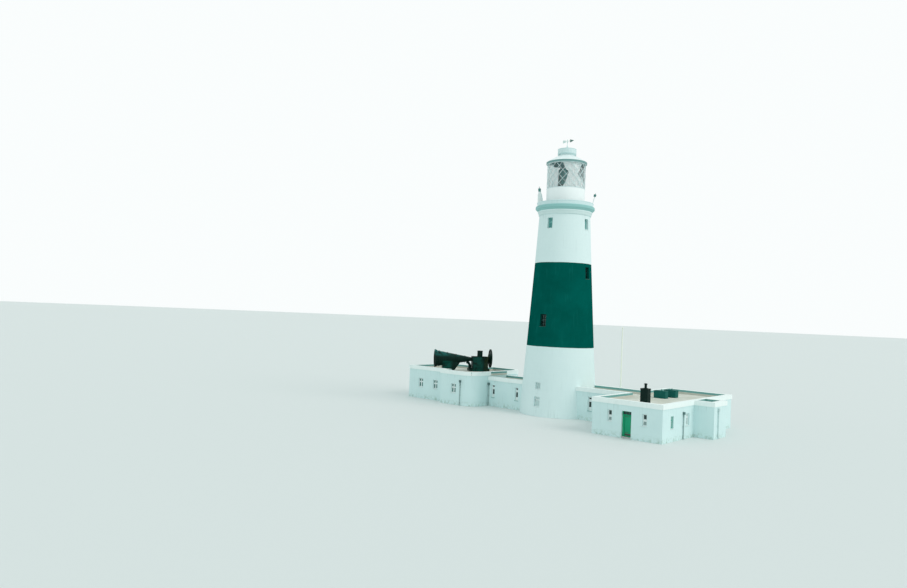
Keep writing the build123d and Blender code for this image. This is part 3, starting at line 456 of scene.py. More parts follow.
def sash_work(kind):
    """The mullions, transoms, sashes and apron of one kind of window, at the sill's middle, facing +X."""
    height, width, reveal, mullions, transoms, apron, bar = kind[1:]
    middle = -reveal - 0.04
    clear = width - 2 * FRAME_FACE
    bars = []
    for place in mullions:
        across = place - width / 2
        bars.append(block("mullion", (middle, across, height / 2), (BAR_DEPTH, bar, height - 0.1), 0.006))
    for place in transoms:
        bars.append(block("transom", (middle, 0, place), (BAR_DEPTH + 0.01, clear + 0.02, bar), 0.006))
    if apron:
        panel = (middle, 0, FRAME_FACE + apron / 2)
        bars.append(block("apron", panel, (BAR_DEPTH, clear + 0.02, apron), 0.006))
        field = (middle + BAR_DEPTH / 2, 0, panel[2])
        bars.append(block("apron_field", field, (0.012, clear - 0.1, apron - 0.1), 0.005))
    columns = [FRAME_FACE, *mullions, width - FRAME_FACE]
    rows = [FRAME_FACE + apron, *transoms, height - FRAME_FACE]
    for left, right in zip(columns, columns[1:]):
        for low, high in zip(rows, rows[1:]):
            left_edge = left - width / 2 + (bar / 2 if left in mullions else 0)
            right_edge = right - width / 2 - (bar / 2 if right in mullions else 0)
            low_edge = low + (bar / 2 if low in transoms else 0)
            high_edge = high - (bar / 2 if high in transoms else 0)
            for side in (left_edge + SASH / 2, right_edge - SASH / 2):
                rail = (middle, side, (low_edge + high_edge) / 2)
                bars.append(block("stile", rail, (SASH_DEPTH, SASH, high_edge - low_edge), 0.005))
            for level in (low_edge + SASH / 2, high_edge - SASH / 2):
                rail = (middle, (left_edge + right_edge) / 2, level)
                bars.append(block("rail", rail, (SASH_DEPTH, right_edge - left_edge, SASH), 0.005))
    return joined("sash_work", bars)


def sill_stone(kind):
    """A weathered sill: a block whose outer top edge is drawn down to throw off the rain."""
    width, reveal = kind[2:4]
    depth = reveal + SILL_NOSE
    stone = block("sill", (SILL_NOSE - depth / 2, 0, -0.035), (depth, width + 0.10, 0.07), 0.006)
    for corner in stone.data.vertices:
        if corner.co.x > SILL_NOSE / 2 and corner.co.z > -0.02:
            corner.co.z -= SILL_FALL
    return stone


def window_place(place, side, sill):
    """A window's place: the middle of its sill, turned to look out of its side."""
    return Matrix.Translation((*place, sill)) @ Matrix.Rotation(radians(side), 4, "Z")


sashes = []
sills = []
for kind in dict.fromkeys(kind for kind, place, side in windows):
    places = [window_place(place, side, kind[0]) for k, place, side in windows if k == kind]
    sashes.append(copied("sashes", sash_work(kind), places))
    sills.append(copied("sills", sill_stone(kind), places))

joinery = Finish("window_paint")
in_dark = joinery.z.between(9.9, 17.2, 0.05) * abs(joinery.x).rising(9.0, 8.9)
service_room = joinery.z.rising(20.8, 20.9)
on_side = joinery.x.rising(16.7, 16.75) * joinery.y.rising(-6.1, -6.2)
at_door = joinery.y.rising(-8.50, -8.52) * abs(joinery.x - 13.5).rising(0.55, 0.53)
brush = joinery.noise(0.02, 3.0, (1, 1, 0.12))
joinery_colour = joinery.layered(
    (0.80, 0.88, 0.87),
    (brush.rising(0.3, 0.8) * 0.2, (0.66, 0.75, 0.73)),
    (in_dark, (0.004, 0.022, 0.018)),
    (on_side, (0.10, 0.42, 0.33)),
    (service_room, (0.20, 0.50, 0.47)),
    (at_door, (0.008, 0.34, 0.165)),
)
joinery.set(
    base_color=joinery_colour,
    roughness=0.42 + brush * 0.15,
    specular_ior_level=0.25,
    normal=joinery.relief(brush, 0.0008),
)
painted(joinery, "window_frames", "door_frame")
fitted(joined("window_sashes", sashes), joinery)

# Window sills: weathered blocks of cast stone under the frames, proud of the wall and painted with it. They
# are dark in the tower's band, and teal-green on the links.
sill_paint = Finish("sill_paint")
wear = sill_paint.noise(0.06, 4.0)
sill_dark = sill_paint.z.between(9.8, 17.2, 0.05)
sill_green = sill_paint.z.rising(1.15, 1.12) * abs(sill_paint.y).rising(2.3, 2.2)
sill_colour = sill_paint.layered(
    (0.74, 0.84, 0.83),
    (wear.rising(0.45, 0.75) * 0.5, (0.48, 0.58, 0.55)),
    (sill_green * 0.8, (0.13, 0.40, 0.36)),
    (sill_dark, (0.002, 0.07, 0.055)),
)
sill_paint.set(
    base_color=sill_colour,
    roughness=0.6,
    normal=sill_paint.relief(roughcast(sill_paint, 0.02), 0.0015),
)
fitted(joined("window_sills", sills), sill_paint)

# Glass: clear panes that look nearly black against the dark rooms, and obscured ones at the tower's foot
# and in the lower lights of the dwelling, where a white backing shows through.
glazing = Finish("window_glass")
at_foot = glazing.z.rising(4.0, 3.95) * abs(glazing.x).rising(0.5, 0.45) * glazing.y.rising(-3.7, -3.75)
low_light = glazing.z.rising(1.95, 1.92) * glazing.x.rising(10.5, 10.6) * abs(glazing.y).rising(7.25, 7.3)
side_light = glazing.x.rising(16.7, 16.75)
left_light = glazing.x.rising(-9.5, -9.6)
service_light = glazing.z.rising(20.8, 20.9)
ripple = glazing.noise(0.25, 2.0)
glass_colour = glazing.layered(
    (0.006, 0.035, 0.032),
    (ripple * 0.5, (0.012, 0.065, 0.058)),
    (left_light * 0.8, (0.05, 0.22, 0.20)),
    (service_light, (0.10, 0.34, 0.32)),
    (low_light, (0.26, 0.36, 0.35)),
    (side_light, (0.36, 0.52, 0.50)),
    (at_foot, (0.58, 0.72, 0.71)),
)
backed = (at_foot + low_light + side_light).rising(0, 1)
glazing.set(
    base_color=glass_colour,
    roughness=0.06 + backed * 0.25,
    alpha=0.90 + backed * 0.10,
    normal=glazing.relief(ripple, 0.002, 0.4),
)
painted(glazing, "window_panes", "door_fanlight")

# Gallery cornice: a bold band run in cement round the edge of the deck, which a bed mould carries past the
# shaft. The band's grey-green is partly its paint and partly painted shade, for the shade under its overhang,
# and the mould under it is white.
BED_MOULD_TOP = 23.28
cornice = Finish("cornice_paint_and_shade")
soot = cornice.noise(0.35, 4.0)
runs = streaks(cornice, 0.10)
cornice_low = cornice.z.rising(BED_MOULD_TOP, BED_MOULD_TOP - 0.02)
# The band's grey-green is partly paint and partly painted shade: the shade that falls under its overhang.
cornice_colour_and_shade = cornice.layered(
    (0.32, 0.60, 0.58),
    (soot * 0.35, (0.24, 0.49, 0.47)),
    (runs * 0.35, (0.44, 0.68, 0.66)),
    (cornice_low, (0.66, 0.81, 0.80)),
)
cornice.set(
    base_color=cornice_colour_and_shade,
    roughness=0.55 + (soot - 0.5) * 0.2,
    normal=cornice.relief(roughcast(cornice, 0.03), 0.002),
    specular_ior_level=0.15,
)
painted(cornice, "gallery_cornice")

# Parapet and murette: solid rendered rings, one round the gallery's walk and one under the glazing of the
# lantern, both painted white. The parapet ends in a rounded nosing of cement.
parapet = Finish("parapet_paint")
parapet_dirt = streaks(parapet, 0.14)
parapet_cloud = parapet.noise(1.2, 4.0)
on_murette = (parapet.x * parapet.x + parapet.y * parapet.y).rising(6.5, 6.4)
parapet_colour = parapet.layered(
    (0.66, 0.83, 0.835),
    (parapet_cloud * 0.25, (0.56, 0.74, 0.75)),
    (parapet_dirt * 0.3, STREAK),
    (on_murette * 0.94, (0.93, 0.985, 0.98)),
)
parapet.set(
    base_color=parapet_colour,
    roughness=0.58,
    normal=parapet.relief(roughcast(parapet, 0.04), 0.003),
)
painted(parapet, "gallery_parapet", "murette")


def turned(name, rings, sides=64, ring_shaped=False):
    """A round piece about +Z, drawn up ring by ring from (radius, height) pairs. A solid one is closed at
    both ends, and a ring-shaped one comes back to its first ring."""
    cleared()
    radius, height = rings[0]
    fill = "NOTHING" if ring_shaped else "NGON"
    bpy.ops.mesh.primitive_circle_add(vertices=sides, radius=radius, fill_type=fill, location=(0, 0, height))
    piece = bpy.context.object
    piece.name = name
    bpy.ops.object.transform_apply(location=True, rotation=True, scale=True)
    bpy.ops.object.mode_set(mode="EDIT")
    bpy.ops.mesh.select_all(action="SELECT")
    for wider, higher in (*rings[1:], rings[0]) if ring_shaped else rings[1:]:
        bpy.ops.mesh.extrude_region_move(TRANSFORM_OT_translate={"value": (0, 0, higher - height)})
        bpy.ops.transform.resize(value=(wider / radius, wider / radius, 1), center_override=(0, 0, higher))
        radius, height = wider, higher
    bpy.ops.mesh.select_all(action="SELECT")
    bpy.ops.mesh.remove_doubles(threshold=0.00005)
    bpy.ops.mesh.normals_make_consistent(inside=False)
    bpy.ops.object.mode_set(mode="OBJECT")
    return piece


def bead(name, radius, height, thick, sides=64, corners=10):
    """A round bead that runs round a drum, half sunk in it."""
    points = [
        (radius + thick * cos(2 * pi * step / corners), height + thick * sin(2 * pi * step / corners))
        for step in range(corners)
    ]
    return turned(name, points, sides, True)


def moved(piece, place):
    """A piece with its mesh put at a place."""
    piece.data.transform(place)
    return piece


def round_about(count, radius, height, start=0.0):
    """Places spaced evenly round an upright line, each turned to face outwards."""
    outward = Matrix.Translation((radius, 0, height))
    turns = [radians(start) + 2 * pi * step / count for step in range(count)]
    return [Matrix.Rotation(turn, 4, "Z") @ outward for turn in turns]


def ringed(name, piece, place, *ring):
    """Copies of a piece spaced evenly round the line of a place: a count, a radius, a height, a start."""
    return copied(name, piece, [place @ spot for spot in round_about(*ring)])


NOSING = (
    (3.045, 24.27),
    (3.255, 24.27),
    (3.270, 24.30),
    (3.255, 24.335),
    (3.220, 24.355),
    (3.080, 24.355),
    (3.050, 24.335),
)
nosing = turned("parapet_nosing", NOSING, 96, True)
fitted(nosing, parapet)
fillets = [bead("fillet", 3.398, 23.725, 0.016, 96), bead("fillet", 3.108, 23.19, 0.020, 96)]
fitted(joined("cornice_fillets", fillets), cornice)

# Beacon and lamp on the gallery: a white tapered cast column with a dark lantern at its head, and a small
# hooded lamp on a post that is bolted to the parapet.


def leaning(turn, reach, height, lean):
    """A foot on the parapet at a turn round the tower, from which a fitting leans outwards."""
    foot = Matrix.Rotation(radians(turn), 4, "Z") @ Matrix.Translation((reach, 0, height))
    return foot, foot @ Matrix.Rotation(radians(lean), 4, "Y")


BEACON_FOOT, BEACON = leaning(222, 2.90, 24.39, 6)
LAMP_FOOT, LAMP = leaning(42, 3.15, 24.33, 14)
fitting_paint = Finish("fitting_paint")
fitting_dark = fitting_paint.z.rising(25.65, 25.68)
on_lamp = fitting_paint.x.rising(1.0, 1.1) * fitting_paint.z.rising(25.31, 25.34)
rust = fitting_paint.noise(0.05, 5.0, rough=0.7)
fitting_colour = fitting_paint.layered(
    (0.74, 0.84, 0.83),
    (rust.rising(0.58, 0.75) * 0.35, (0.42, 0.36, 0.27)),
    ((fitting_dark + on_lamp).rising(0, 0.8), (0.07, 0.25, 0.23)),
)
fitting_paint.worn(fitting_colour, rust, 0.38, 0.2, 0.001)
painted(fitting_paint, "gallery_beacon", "gallery_lamp")


def bolt(size):
    """A hexagon bolt head with a washer under it, standing up from the ground."""
    washer = turned("washer", [(size * 0.95, 0), (size * 0.95, size * 0.12)], 12)
    head = [(size * 0.62, size * 0.1), (size * 0.62, size * 0.55), (size * 0.5, size * 0.66)]
    return joined("bolt", [washer, turned("head", head, 6)])


# Each bead round the column: its radius, its height and how thick it is
BEACON_BEADS = (
    (0.322, 0.015, 0.024),
    (0.288, 0.45, 0.016),
    (0.252, 0.90, 0.020),
    (0.126, 1.27, 0.022),
    (0.152, 1.45, 0.012),
)
beacon_parts = [moved(bead("collar", *size, 32), BEACON) for size in BEACON_BEADS]
beacon_parts += [
    moved(turned("hood", [(0.175, 1.59), (0.175, 1.62), (0.08, 1.69), (0.026, 1.72)], 32), BEACON),
    moved(bead("finial", 0.022, 1.85, 0.018, 16), BEACON),
    ringed("bolts", bolt(0.022), BEACON_FOOT, 8, 0.325 / cos(pi / 8), 0, 22.5),
    ringed("post_bolts", bolt(0.014), BEACON_FOOT, 4, 0.42, 0, 45),
]
fitted(joined("beacon_fittings", beacon_parts), fitting_paint)
guard = block("guard", (0, 0, 0), (0.012, 0.012, 0.22), 0.003)
lamp_parts = [
    moved(turned("foot", [(0.085, 0.02), (0.085, 0.045), (0.055, 0.07)], 24), LAMP_FOOT),
    ringed("bolts", bolt(0.012), LAMP_FOOT, 4, 0.068, 0.045, 45),
    moved(bead("collar", 0.042, 0.70, 0.010, 24), LAMP),
    moved(turned("hood", [(0.155, 1.26), (0.155, 1.285), (0.08, 1.34), (0.022, 1.36)], 24), LAMP),
    ringed("guards", guard, LAMP, 8, 0.138, 1.16),
]
fitted(joined("lamp_fittings", lamp_parts), fitting_paint)

# Lantern frame: diagonal iron astragals bolted together at their crossings, between a ring on the murette
# and a ring under the gutter, all painted white.
LATTICE_RADIUS = 2.19
DIAMONDS = 16
GLAZING_FOOT = 26.00
GLAZING_HEIGHT = 2.94
TIERS = 6
ironwork = Finish("lantern_ironwork")
iron_wear = ironwork.noise(0.07, 5.0, rough=0.7)
iron_colour = ironwork.layered(
    (0.66, 0.80, 0.80),
    (iron_wear.rising(0.4, 0.8) * 0.35, (0.46, 0.62, 0.62)),
    (iron_wear.rising(0.66, 0.78) * 0.4, (0.30, 0.24, 0.17)),
)
ironwork.worn(iron_colour, iron_wear, 0.40, 0.15, 0.001)
painted(ironwork, "lantern_astragals")
crossings = []
for level in range(TIERS + 1):
    height = GLAZING_FOOT + GLAZING_HEIGHT * level / TIERS
    crossings += round_about(DIAMONDS, LATTICE_RADIUS + 0.028, height, 360 / DIAMONDS * (level % 2) / 2)
boss = moved(bolt(0.03), Matrix.Rotation(radians(90), 4, "Y"))
fitted(copied("astragal_bolts", boss, crossings[DIAMONDS:-DIAMONDS]), ironwork)
SILL_RING = ((2.12, 25.98), (2.235, 25.98), (2.245, 26.00), (2.235, 26.05), (2.12, 26.07))
HEAD_RING = ((2.12, 28.86), (2.24, 28.88), (2.26, 28.94), (2.12, 28.95))
rails = [turned("ring", ring, 96, True) for ring in (SILL_RING, HEAD_RING)]
fitted(joined("lantern_rings", rails), ironwork)

# Lantern glass: curved clear panes, bedded in putty behind the astragals, with a haze of dried salt. Lens
# and dark ceiling show through them where the curtains gape.
panes = Finish("lantern_glass")
salt = panes.noise(0.5, 4.0)
panes.set(
    base_color=panes.colour(salt, (0.80, 0.92, 0.92), (0.88, 0.96, 0.96)),
    roughness=0.08 + salt * 0.06,
    alpha=0.03 + salt * 0.06,
)
painted(panes, "lantern_glass")

# Curtains: plain white cotton drawn round the inside of the glass by day, to keep the sun off the lens.
# They hang in folds from a rail, and gape where their edges have been pulled aside. The left one has come
# off the rail towards the front, where its head hangs down.
RAIL_RADIUS = 2.062
# The folds are waves round the rail, a deep one with a long uneven one, and a wave to and fro, in degrees
FOLD_DEPTH = 0.030
FOLD_PITCH = 5.2
LONG_PITCH = 13.7
LONG_SHARE = 0.35
SWAY_PITCH = 9.1
SWAY = 0.35
CLOTH = 0.003
HEM_WAVE = 0.02
CURTAIN_FOOT = 26.06
CURTAIN_HEAD = 28.91
# A curtain is the turn of its left and right edges at shares of its height, and its head along its width
DRAPES = {
    "curtain_front": (
        ((0, -67), (0.22, -58), (0.43, -53), (0.575, -49), (0.76, -61), (0.905, -66), (1, -69)),
        ((0, 26), (0.18, 23), (0.31, 14), (0.41, -7), (0.53, -16), (0.84, -5), (1, -2)),
        ((0, 1), (1, 1)),
    ),
    "curtain_rear": (
        ((0, 34), (0.35, 38), (1, 42)),
        ((0, 122), (1, 126)),
        ((0, 1), (1, 1)),
    ),
    "curtain_left": (
        ((0, 130), (1, 126)),
        ((0, 276), (0.44, 277), (0.65, 277), (0.70, 284), (1, 284)),
        ((0, 1), (0.55, 1), (0.75, 0.91), (0.91, 0.77), (1, 0.75)),
    ),
}


def edge_at(edge, share):
    """The turn round the tower of a curtain's edge, at a share of its height."""
    for (low, first), (high, last) in zip(edge, edge[1:]):
        if share <= high:
            part = (share - low) / (high - low)
            part = part * part * (3 - 2 * part)
            return first + (last - first) * part
    return edge[-1][1]


def drape(name, left, right, top):
    """A curtain in loose folds: a fine grid wrapped round the rail, with a thickness of cloth."""
    columns = int(abs(right[-1][1] - left[-1][1]) * 1.6) + 24
    cleared()
    bpy.ops.mesh.primitive_grid_add(x_subdivisions=columns, y_subdivisions=26, size=2)
    cloth = bpy.context.object
    cloth.name = name
    for point in cloth.data.vertices:
        along = (point.co.x + 1) / 2
        share = (point.co.y + 1) / 2 * edge_at(top, along)
        start = edge_at(left, share)
        end = edge_at(right, share)
        rest = left[-1][1] + (right[-1][1] - left[-1][1]) * along
        fold = sin(radians(rest * 360 / FOLD_PITCH))
        fold += LONG_SHARE * sin(radians(rest * 360 / LONG_PITCH) + 4 * share)
        radius = RAIL_RADIUS + FOLD_DEPTH * fold * (0.55 + 0.45 * (1 - share)) / (1 + LONG_SHARE)
        way = start + (end - start) * along + SWAY * sin(radians(rest * 360 / SWAY_PITCH) + 3 * share)
        height = CURTAIN_FOOT + (CURTAIN_HEAD - CURTAIN_FOOT) * share
        height -= HEM_WAVE * (1 - share) * sin(radians(rest * 25))
        point.co = (radius * cos(radians(way)), radius * sin(radians(way)), height)
    bpy.ops.object.modifier_add(type="SOLIDIFY")
    cloth.modifiers[-1].thickness = CLOTH
    bpy.ops.object.modifier_apply(modifier=cloth.modifiers[-1].name)
    return cloth


cotton = Finish("curtain_cotton")
weave = cotton.noise(0.004, 2.0)
slub = cotton.noise(0.05, 3.0, (1, 1, 0.1))
cotton.set(
    base_color=cotton.colour(slub.rising(0.3, 0.8) * 0.35, (0.93, 0.98, 0.97), (0.82, 0.90, 0.89)),
    roughness=0.9,
    normal=cotton.relief(weave * 0.5 + slub * 0.5, 0.001),
    sheen_weight=0.2,
    subsurface_weight=0.7,
    subsurface_radius=(1.0, 1.0, 1.0),
    subsurface_scale=0.012,
)
for name, (left, right, top) in DRAPES.items():
    cloth = drape(name, left, right, top)
    fitted(cloth, cotton, crease=80)
    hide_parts("lantern_curtains")
fitted(bead("curtain_rail", RAIL_RADIUS, 28.925, 0.014, 96, 8), ironwork)

# Lens: a drum of stacked ring prisms over and under a belt of plain curved glass, each ring ground and
# polished, and puttied into the frame.
LENS_FOOT = 26.525
LENS_HEAD = 28.415
LENS_RADIUS = 0.892
LENS_EYE = 0.30
PRISM = 0.085
BELT_HALF = 0.26
profile = [(LENS_EYE, LENS_FOOT), (LENS_RADIUS - 0.09, LENS_FOOT)]
level = LENS_FOOT + 0.02
while level < LENS_HEAD - PRISM:
    belt = abs(level + PRISM / 2 - (LENS_FOOT + LENS_HEAD) / 2) < BELT_HALF
    nose = 0.0 if belt else 0.05
    profile += [(LENS_RADIUS - 0.055, level), (LENS_RADIUS - (0 if belt else 0.004), level + PRISM * 0.45)]
    profile += [(LENS_RADIUS - 0.055 + nose * 0.2, level + PRISM * 0.95)]
    level += PRISM
profile += [(LENS_RADIUS - 0.09, LENS_HEAD), (LENS_EYE, LENS_HEAD)]
prisms = Finish("lens_prisms")
facets = prisms.noise(0.12, 2.0, (1, 1, 3))
prisms.set(
    base_color=prisms.colour(facets.rising(0.35, 0.7), (0.02, 0.30, 0.29), (0.20, 0.62, 0.60)),
    roughness=0.12,
    metallic=0.15,
    coat_weight=0.3,
)
lens = fitted(turned("lens_prisms", profile, 96), prisms, crease=12)
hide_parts("lens")

# Frame and pedestal of the lens: gunmetal uprights and hoops screwed to an iron table, on a painted cast
# column that is bolted to the lantern's floor.
gunmetal = Finish("lens_gunmetal")
tarnish = gunmetal.noise(0.08, 4.0)
gunmetal.set(
    base_color=gunmetal.colour(tarnish, (0.10, 0.16, 0.14), (0.20, 0.26, 0.22)),
    metallic=0.7,
    roughness=0.38 + tarnish * 0.2,
)
upright = block("upright", (0, 0, 0), (0.035, 0.03, LENS_HEAD - LENS_FOOT), 0.005)
lens_frame = [
    copied("uprights", upright, round_about(12, LENS_RADIUS - 0.012, (LENS_FOOT + LENS_HEAD) / 2, 15)),
    bead("hoop", LENS_RADIUS - 0.02, LENS_FOOT + 0.02, 0.022, 64),
    bead("hoop", LENS_RADIUS - 0.02, LENS_HEAD - 0.02, 0.022, 64),
    turned("table", [(0.52, 26.39), (0.80, 26.47), (0.82, 26.52), (0.40, 26.525)], 64),
    turned("foot", [(0.62, 23.45), (0.62, 23.49), (0.50, 23.55), (0.46, 23.60)], 64),
    copied("bolts", bolt(0.03), round_about(12, 0.56, 23.49)),
]
fitted(joined("lens_frame", lens_frame), gunmetal)
pedestal = Finish("pedestal_paint")
pedestal_wear = pedestal.noise(0.2, 4.0)
pedestal.set(
    base_color=pedestal.colour(pedestal_wear, (0.02, 0.07, 0.065), (0.05, 0.13, 0.12)),
    roughness=0.42,
    normal=pedestal.relief(pedestal_wear, 0.001),
)
painted(pedestal, "lens_pedestal")

# Gutter of the lantern: a deep cast ring that ties the heads of the astragals and catches the rain off the
# cone, with a rolled lip at its top and bottom. Its grey-green is partly paint and partly painted shade, for
# the shade under the eave.
# Grey-green, partly paint and partly painted shade: the shade under the eave.
GUTTER_PAINT_AND_SHADE = (0.17, 0.36, 0.35)
gutter = Finish("gutter_paint_and_shade")
gutter_wear = gutter.noise(0.09, 4.0)
gutter_runs = streaks(gutter, 0.06)
gutter_colour_and_shade = gutter.layered(
    GUTTER_PAINT_AND_SHADE,
    (gutter_wear * 0.5, (0.12, 0.27, 0.26)),
    (gutter_runs * 0.4, (0.40, 0.58, 0.57)),
)
gutter.worn(gutter_colour_and_shade, gutter_wear, 0.42, 0.15, 0.001)
painted(gutter, "lantern_gutter")
lips = [bead("lip", 2.347, 29.125, 0.016, 96), bead("lip", 2.343, 28.955, 0.012, 96)]
fitted(joined("gutter_lips", lips), gutter)

# Ceiling of the lantern: thin boards under the cone, closed by a round board under the ventilator, and a
# curb round the inside of the gutter ring. Their dark teal is painted shade, for the shade inside the roof.
RIB_SLOPE = 0.621
HALF_PANEL = 360 / DIAMONDS / 2
# Dark teal as painted shade: the shade that fills the inside of the lantern's roof.
ceiling_painted_shade = Finish("ceiling_painted_shade")
ceiling_wear = ceiling_painted_shade.noise(0.15, 4.0)
ceiling_painted_shade.set(
    base_color=ceiling_painted_shade.colour(ceiling_wear, (0.012, 0.27, 0.30), (0.04, 0.40, 0.42)),
    roughness=0.5,
    normal=ceiling_painted_shade.relief(ceiling_wear, 0.001),
)
ceiling_parts = [
    turned("boards", [(1.94, 29.123), (1.94, 29.133), (0.85, 29.913), (0.85, 29.900)], 64, True),
    turned("crown_board", [(0.855, 29.923), (0.855, 29.938)], 64),
    turned("curb", [(1.947, 28.945), (1.947, 29.132), (1.925, 29.132), (1.925, 28.945)], 64, True),
]
rib = moved(block("rib", (0, 0, 0), (1.30, 0.05, 0.05), 0.006), Matrix.Rotation(RIB_SLOPE, 4, "Y"))
ceiling_parts.append(copied("ribs", rib, round_about(DIAMONDS, 1.40, 29.485, HALF_PANEL)))
fitted(joined("lantern_ceiling", ceiling_parts), ceiling_painted_shade)

# Lantern roof: a low copper cone in sixteen seamed panels, and over it a round ventilator with beaded
# edges, hooded air slots and a turned finial, all painted.
roof_paint = Finish("lantern_roof_paint")
roof_cloud = roof_paint.noise(0.6, 4.0)
# Painted shade: darker bands at the foot of the ventilator's drum and round its upper bead, where shade falls.
foot_shade = roof_paint.z.rising(30.06, 30.11) * roof_paint.z.rising(30.22, 30.18)
roof_painted_shade = foot_shade + roof_paint.z.between(30.68, 30.78, 0.03)
roof_drum = roof_paint.z.rising(30.04, 30.08)
roof_colour = roof_paint.layered(
    (0.84, 0.93, 0.93),
    (roof_cloud * 0.3, (0.72, 0.86, 0.86)),
    (roof_drum * 0.65, (0.58, 0.77, 0.77)),
    (roof_painted_shade * 0.6, (0.36, 0.58, 0.58)),
)
roof_paint.worn(roof_colour, roof_cloud, 0.40, 0.15, 0.002)
painted(roof_paint, "lantern_roof", "ventilator")
CONE_RISE = 0.82
CONE_SLANT = 1.6615
ROOF_SLOPE = asin(CONE_RISE / CONE_SLANT)
seam = moved(block("seam", (0, 0, 0), (1.60, 0.035, 0.03), 0.008), Matrix.Rotation(ROOF_SLOPE, 4, "Y"))
FINIAL = (
    (0.10, 30.97),
    (0.11, 31.01),
    (0.07, 31.05),
    (0.06, 31.09),
    (0.085, 31.14),
    (0.05, 31.20),
    (0.031, 31.22),
)
roof_trim = [
    copied("seams", seam, round_about(DIAMONDS, 1.632, 29.556, HALF_PANEL)),
    bead("neck_bead", 0.905, 29.97, 0.022, 64),
    bead("drum_bead", 1.062, 30.105, 0.024, 64),
    bead("drum_bead", 1.062, 30.71, 0.026, 64),
    turned("finial", FINIAL, 24),
]
fitted(joined("lantern_roof_trim", roof_trim), roof_paint)
slot_hood = block("slot_hood", (0, 0, 0), (0.028, 0.16, 0.05), 0.006)
slots = [place for height in (30.28, 30.40, 30.52) for place in round_about(18, 1.066, height, 10)]
fitted(copied("ventilator_hoods", slot_hood, slots), roof_paint)

# Weather vane: an arrow cut from copper sheet, with a dark head and a pale tail, ribbed to keep it flat. It
# is brazed to a sleeve that turns on the fixed spindle.
vane_paint = Finish("vane_paint")
vane_wear = vane_paint.noise(0.05, 4.0)
vane_head = vane_paint.x.rising(0.20, 0.24)
vane_colour = vane_paint.layered(
    (0.74, 0.86, 0.84),
    (vane_wear * 0.5, (0.60, 0.74, 0.71)),
    (vane_head, (0.06, 0.17, 0.14)),
)
vane_paint.worn(vane_colour, vane_wear, 0.40, 0.2, 0.0008)
painted(vane_paint, "weather_vane", "vane_spindle")
VANE_HEIGHT = 31.73
vane_parts = [block("head_rib", (0.60, 0, VANE_HEIGHT), (0.44, 0.040, 0.05), 0.006)]
for sign in (-1, 1):
    vane_parts += [
        bead("sleeve_bead", 0.066, VANE_HEIGHT + sign * 0.10, 0.010, 24),
        block("tail_rib", (-0.43, 0, VANE_HEIGHT + sign * 0.08), (0.34, 0.030, 0.02), 0.005),
    ]
fitted(joined("vane_ribs", vane_parts), vane_paint, "vane")

# Wings: rendered walls under white masonry paint, rough to the touch, streaked below the copings and a
# little green near the ground. Lower blocks stand right of the tower, higher ones left.
WING_PAINT = (0.68, 0.87, 0.865)
wing = Finish("wing_paint")
wing_cloud = wing.noise(1.6, 4.0)
wing_lumps = roughcast(wing, 0.03)
wing_runs = streaks(wing, 0.16)
wing_high = wing.z.rising(1.6, 3.4)
algae = wing.noise(0.3, 4.0).rising(0.42, 0.7) * wing.z.rising(0.7, 0.05)
wing_colour = wing.layered(
    WING_PAINT,
    (wing_cloud.rising(0.3, 0.8) * 0.4, (0.59, 0.79, 0.79)),
    (wing_runs * (wing_high * 0.4 + 0.12), (0.42, 0.56, 0.54)),
    (algae * 0.55, (0.25, 0.42, 0.30)),
)
wing.set(
    base_color=wing_colour,
    roughness=0.68 + (wing_lumps - 0.5) * 0.2,
    normal=wing.relief(wing_lumps, 0.005, 0.9),
)
painted(wing, *[name for name in cad if "wall" in name and not name.startswith("tower")])

# Copings: thick painted bands on the wall tops, a little proud of them, the whitest part of the building.
# Lichen has begun on top. The roof felt is turned up their inner faces, and a dark teal strip near the top of
# those faces is painted shade, where they lie in shade over the roof.
coping = Finish("coping_paint")
coping_cloud = coping.noise(0.5, 5.0)
lichen = coping.noise(0.09, 5.0, rough=0.75)
coping_runs = streaks(coping, 0.12)
# The room that each run of copings encloses, with its limits along X and along Y. A face counts as inner
# where it is within a skin of the room.
ENCLOSED = (
    ((-8.9, 9.86), (-1.58, 1.58)),
    ((10.27, 16.68), (-8.48, 7.08)),
    ((17.16, 18.68), (-1.68, 0.48)),
    ((-13.48, -9.29), (-4.68, 4.68)),
    ((-20.08, -13.96), (-3.58, 3.58)),
)
SKIN = 0.004
inner_face = 0.0
for (left, right), (near, far) in ENCLOSED:
    lengthwise = coping.x.between(left - SKIN, right + SKIN, SKIN / 2)
    inner_face = inner_face + lengthwise * coping.y.between(near - SKIN, far + SKIN, SKIN / 2)
inner_face = inner_face.rising(0, 1)
# The foot and the head of the strip of painted shade on the low copings and on the high ones
LOW_SHADE, LOW_SHADE_TOP = 3.31, 3.54
HIGH_SHADE, HIGH_SHADE_TOP = 3.86, 4.09
HIGH_FOOT = 3.60
low_shade_strip = coping.z.rising(LOW_SHADE, LOW_SHADE + 0.02) * coping.z.rising(LOW_SHADE_TOP, LOW_SHADE_TOP - 0.01)
high_shade_strip = coping.z.rising(HIGH_SHADE, HIGH_SHADE + 0.02) * coping.z.rising(HIGH_SHADE_TOP, HIGH_SHADE_TOP - 0.01)
shade_strip = low_shade_strip + high_shade_strip
turned_up = coping.z.rising(LOW_SHADE + 0.02, LOW_SHADE) + coping.z.between(HIGH_FOOT, HIGH_SHADE + 0.02, 0.02)
coping_colour = coping.layered(
    (0.88, 0.97, 0.95),
    (coping_cloud.rising(0.4, 0.8) * 0.25, (0.74, 0.87, 0.85)),
    (coping_runs * 0.25, (0.56, 0.69, 0.67)),
    (lichen.rising(0.66, 0.74) * 0.35, (0.50, 0.56, 0.42)),
    (inner_face * turned_up, (0.60, 0.60, 0.53)),
    # A dark teal strip on the inner faces: painted shade.
    (inner_face * shade_strip, (0.15, 0.38, 0.36)),
)
coping.set(
    base_color=coping_colour,
    roughness=0.62,
    normal=coping.relief(roughcast(coping, 0.03), 0.003),
)
painted(coping, "low_copings", "high_copings")

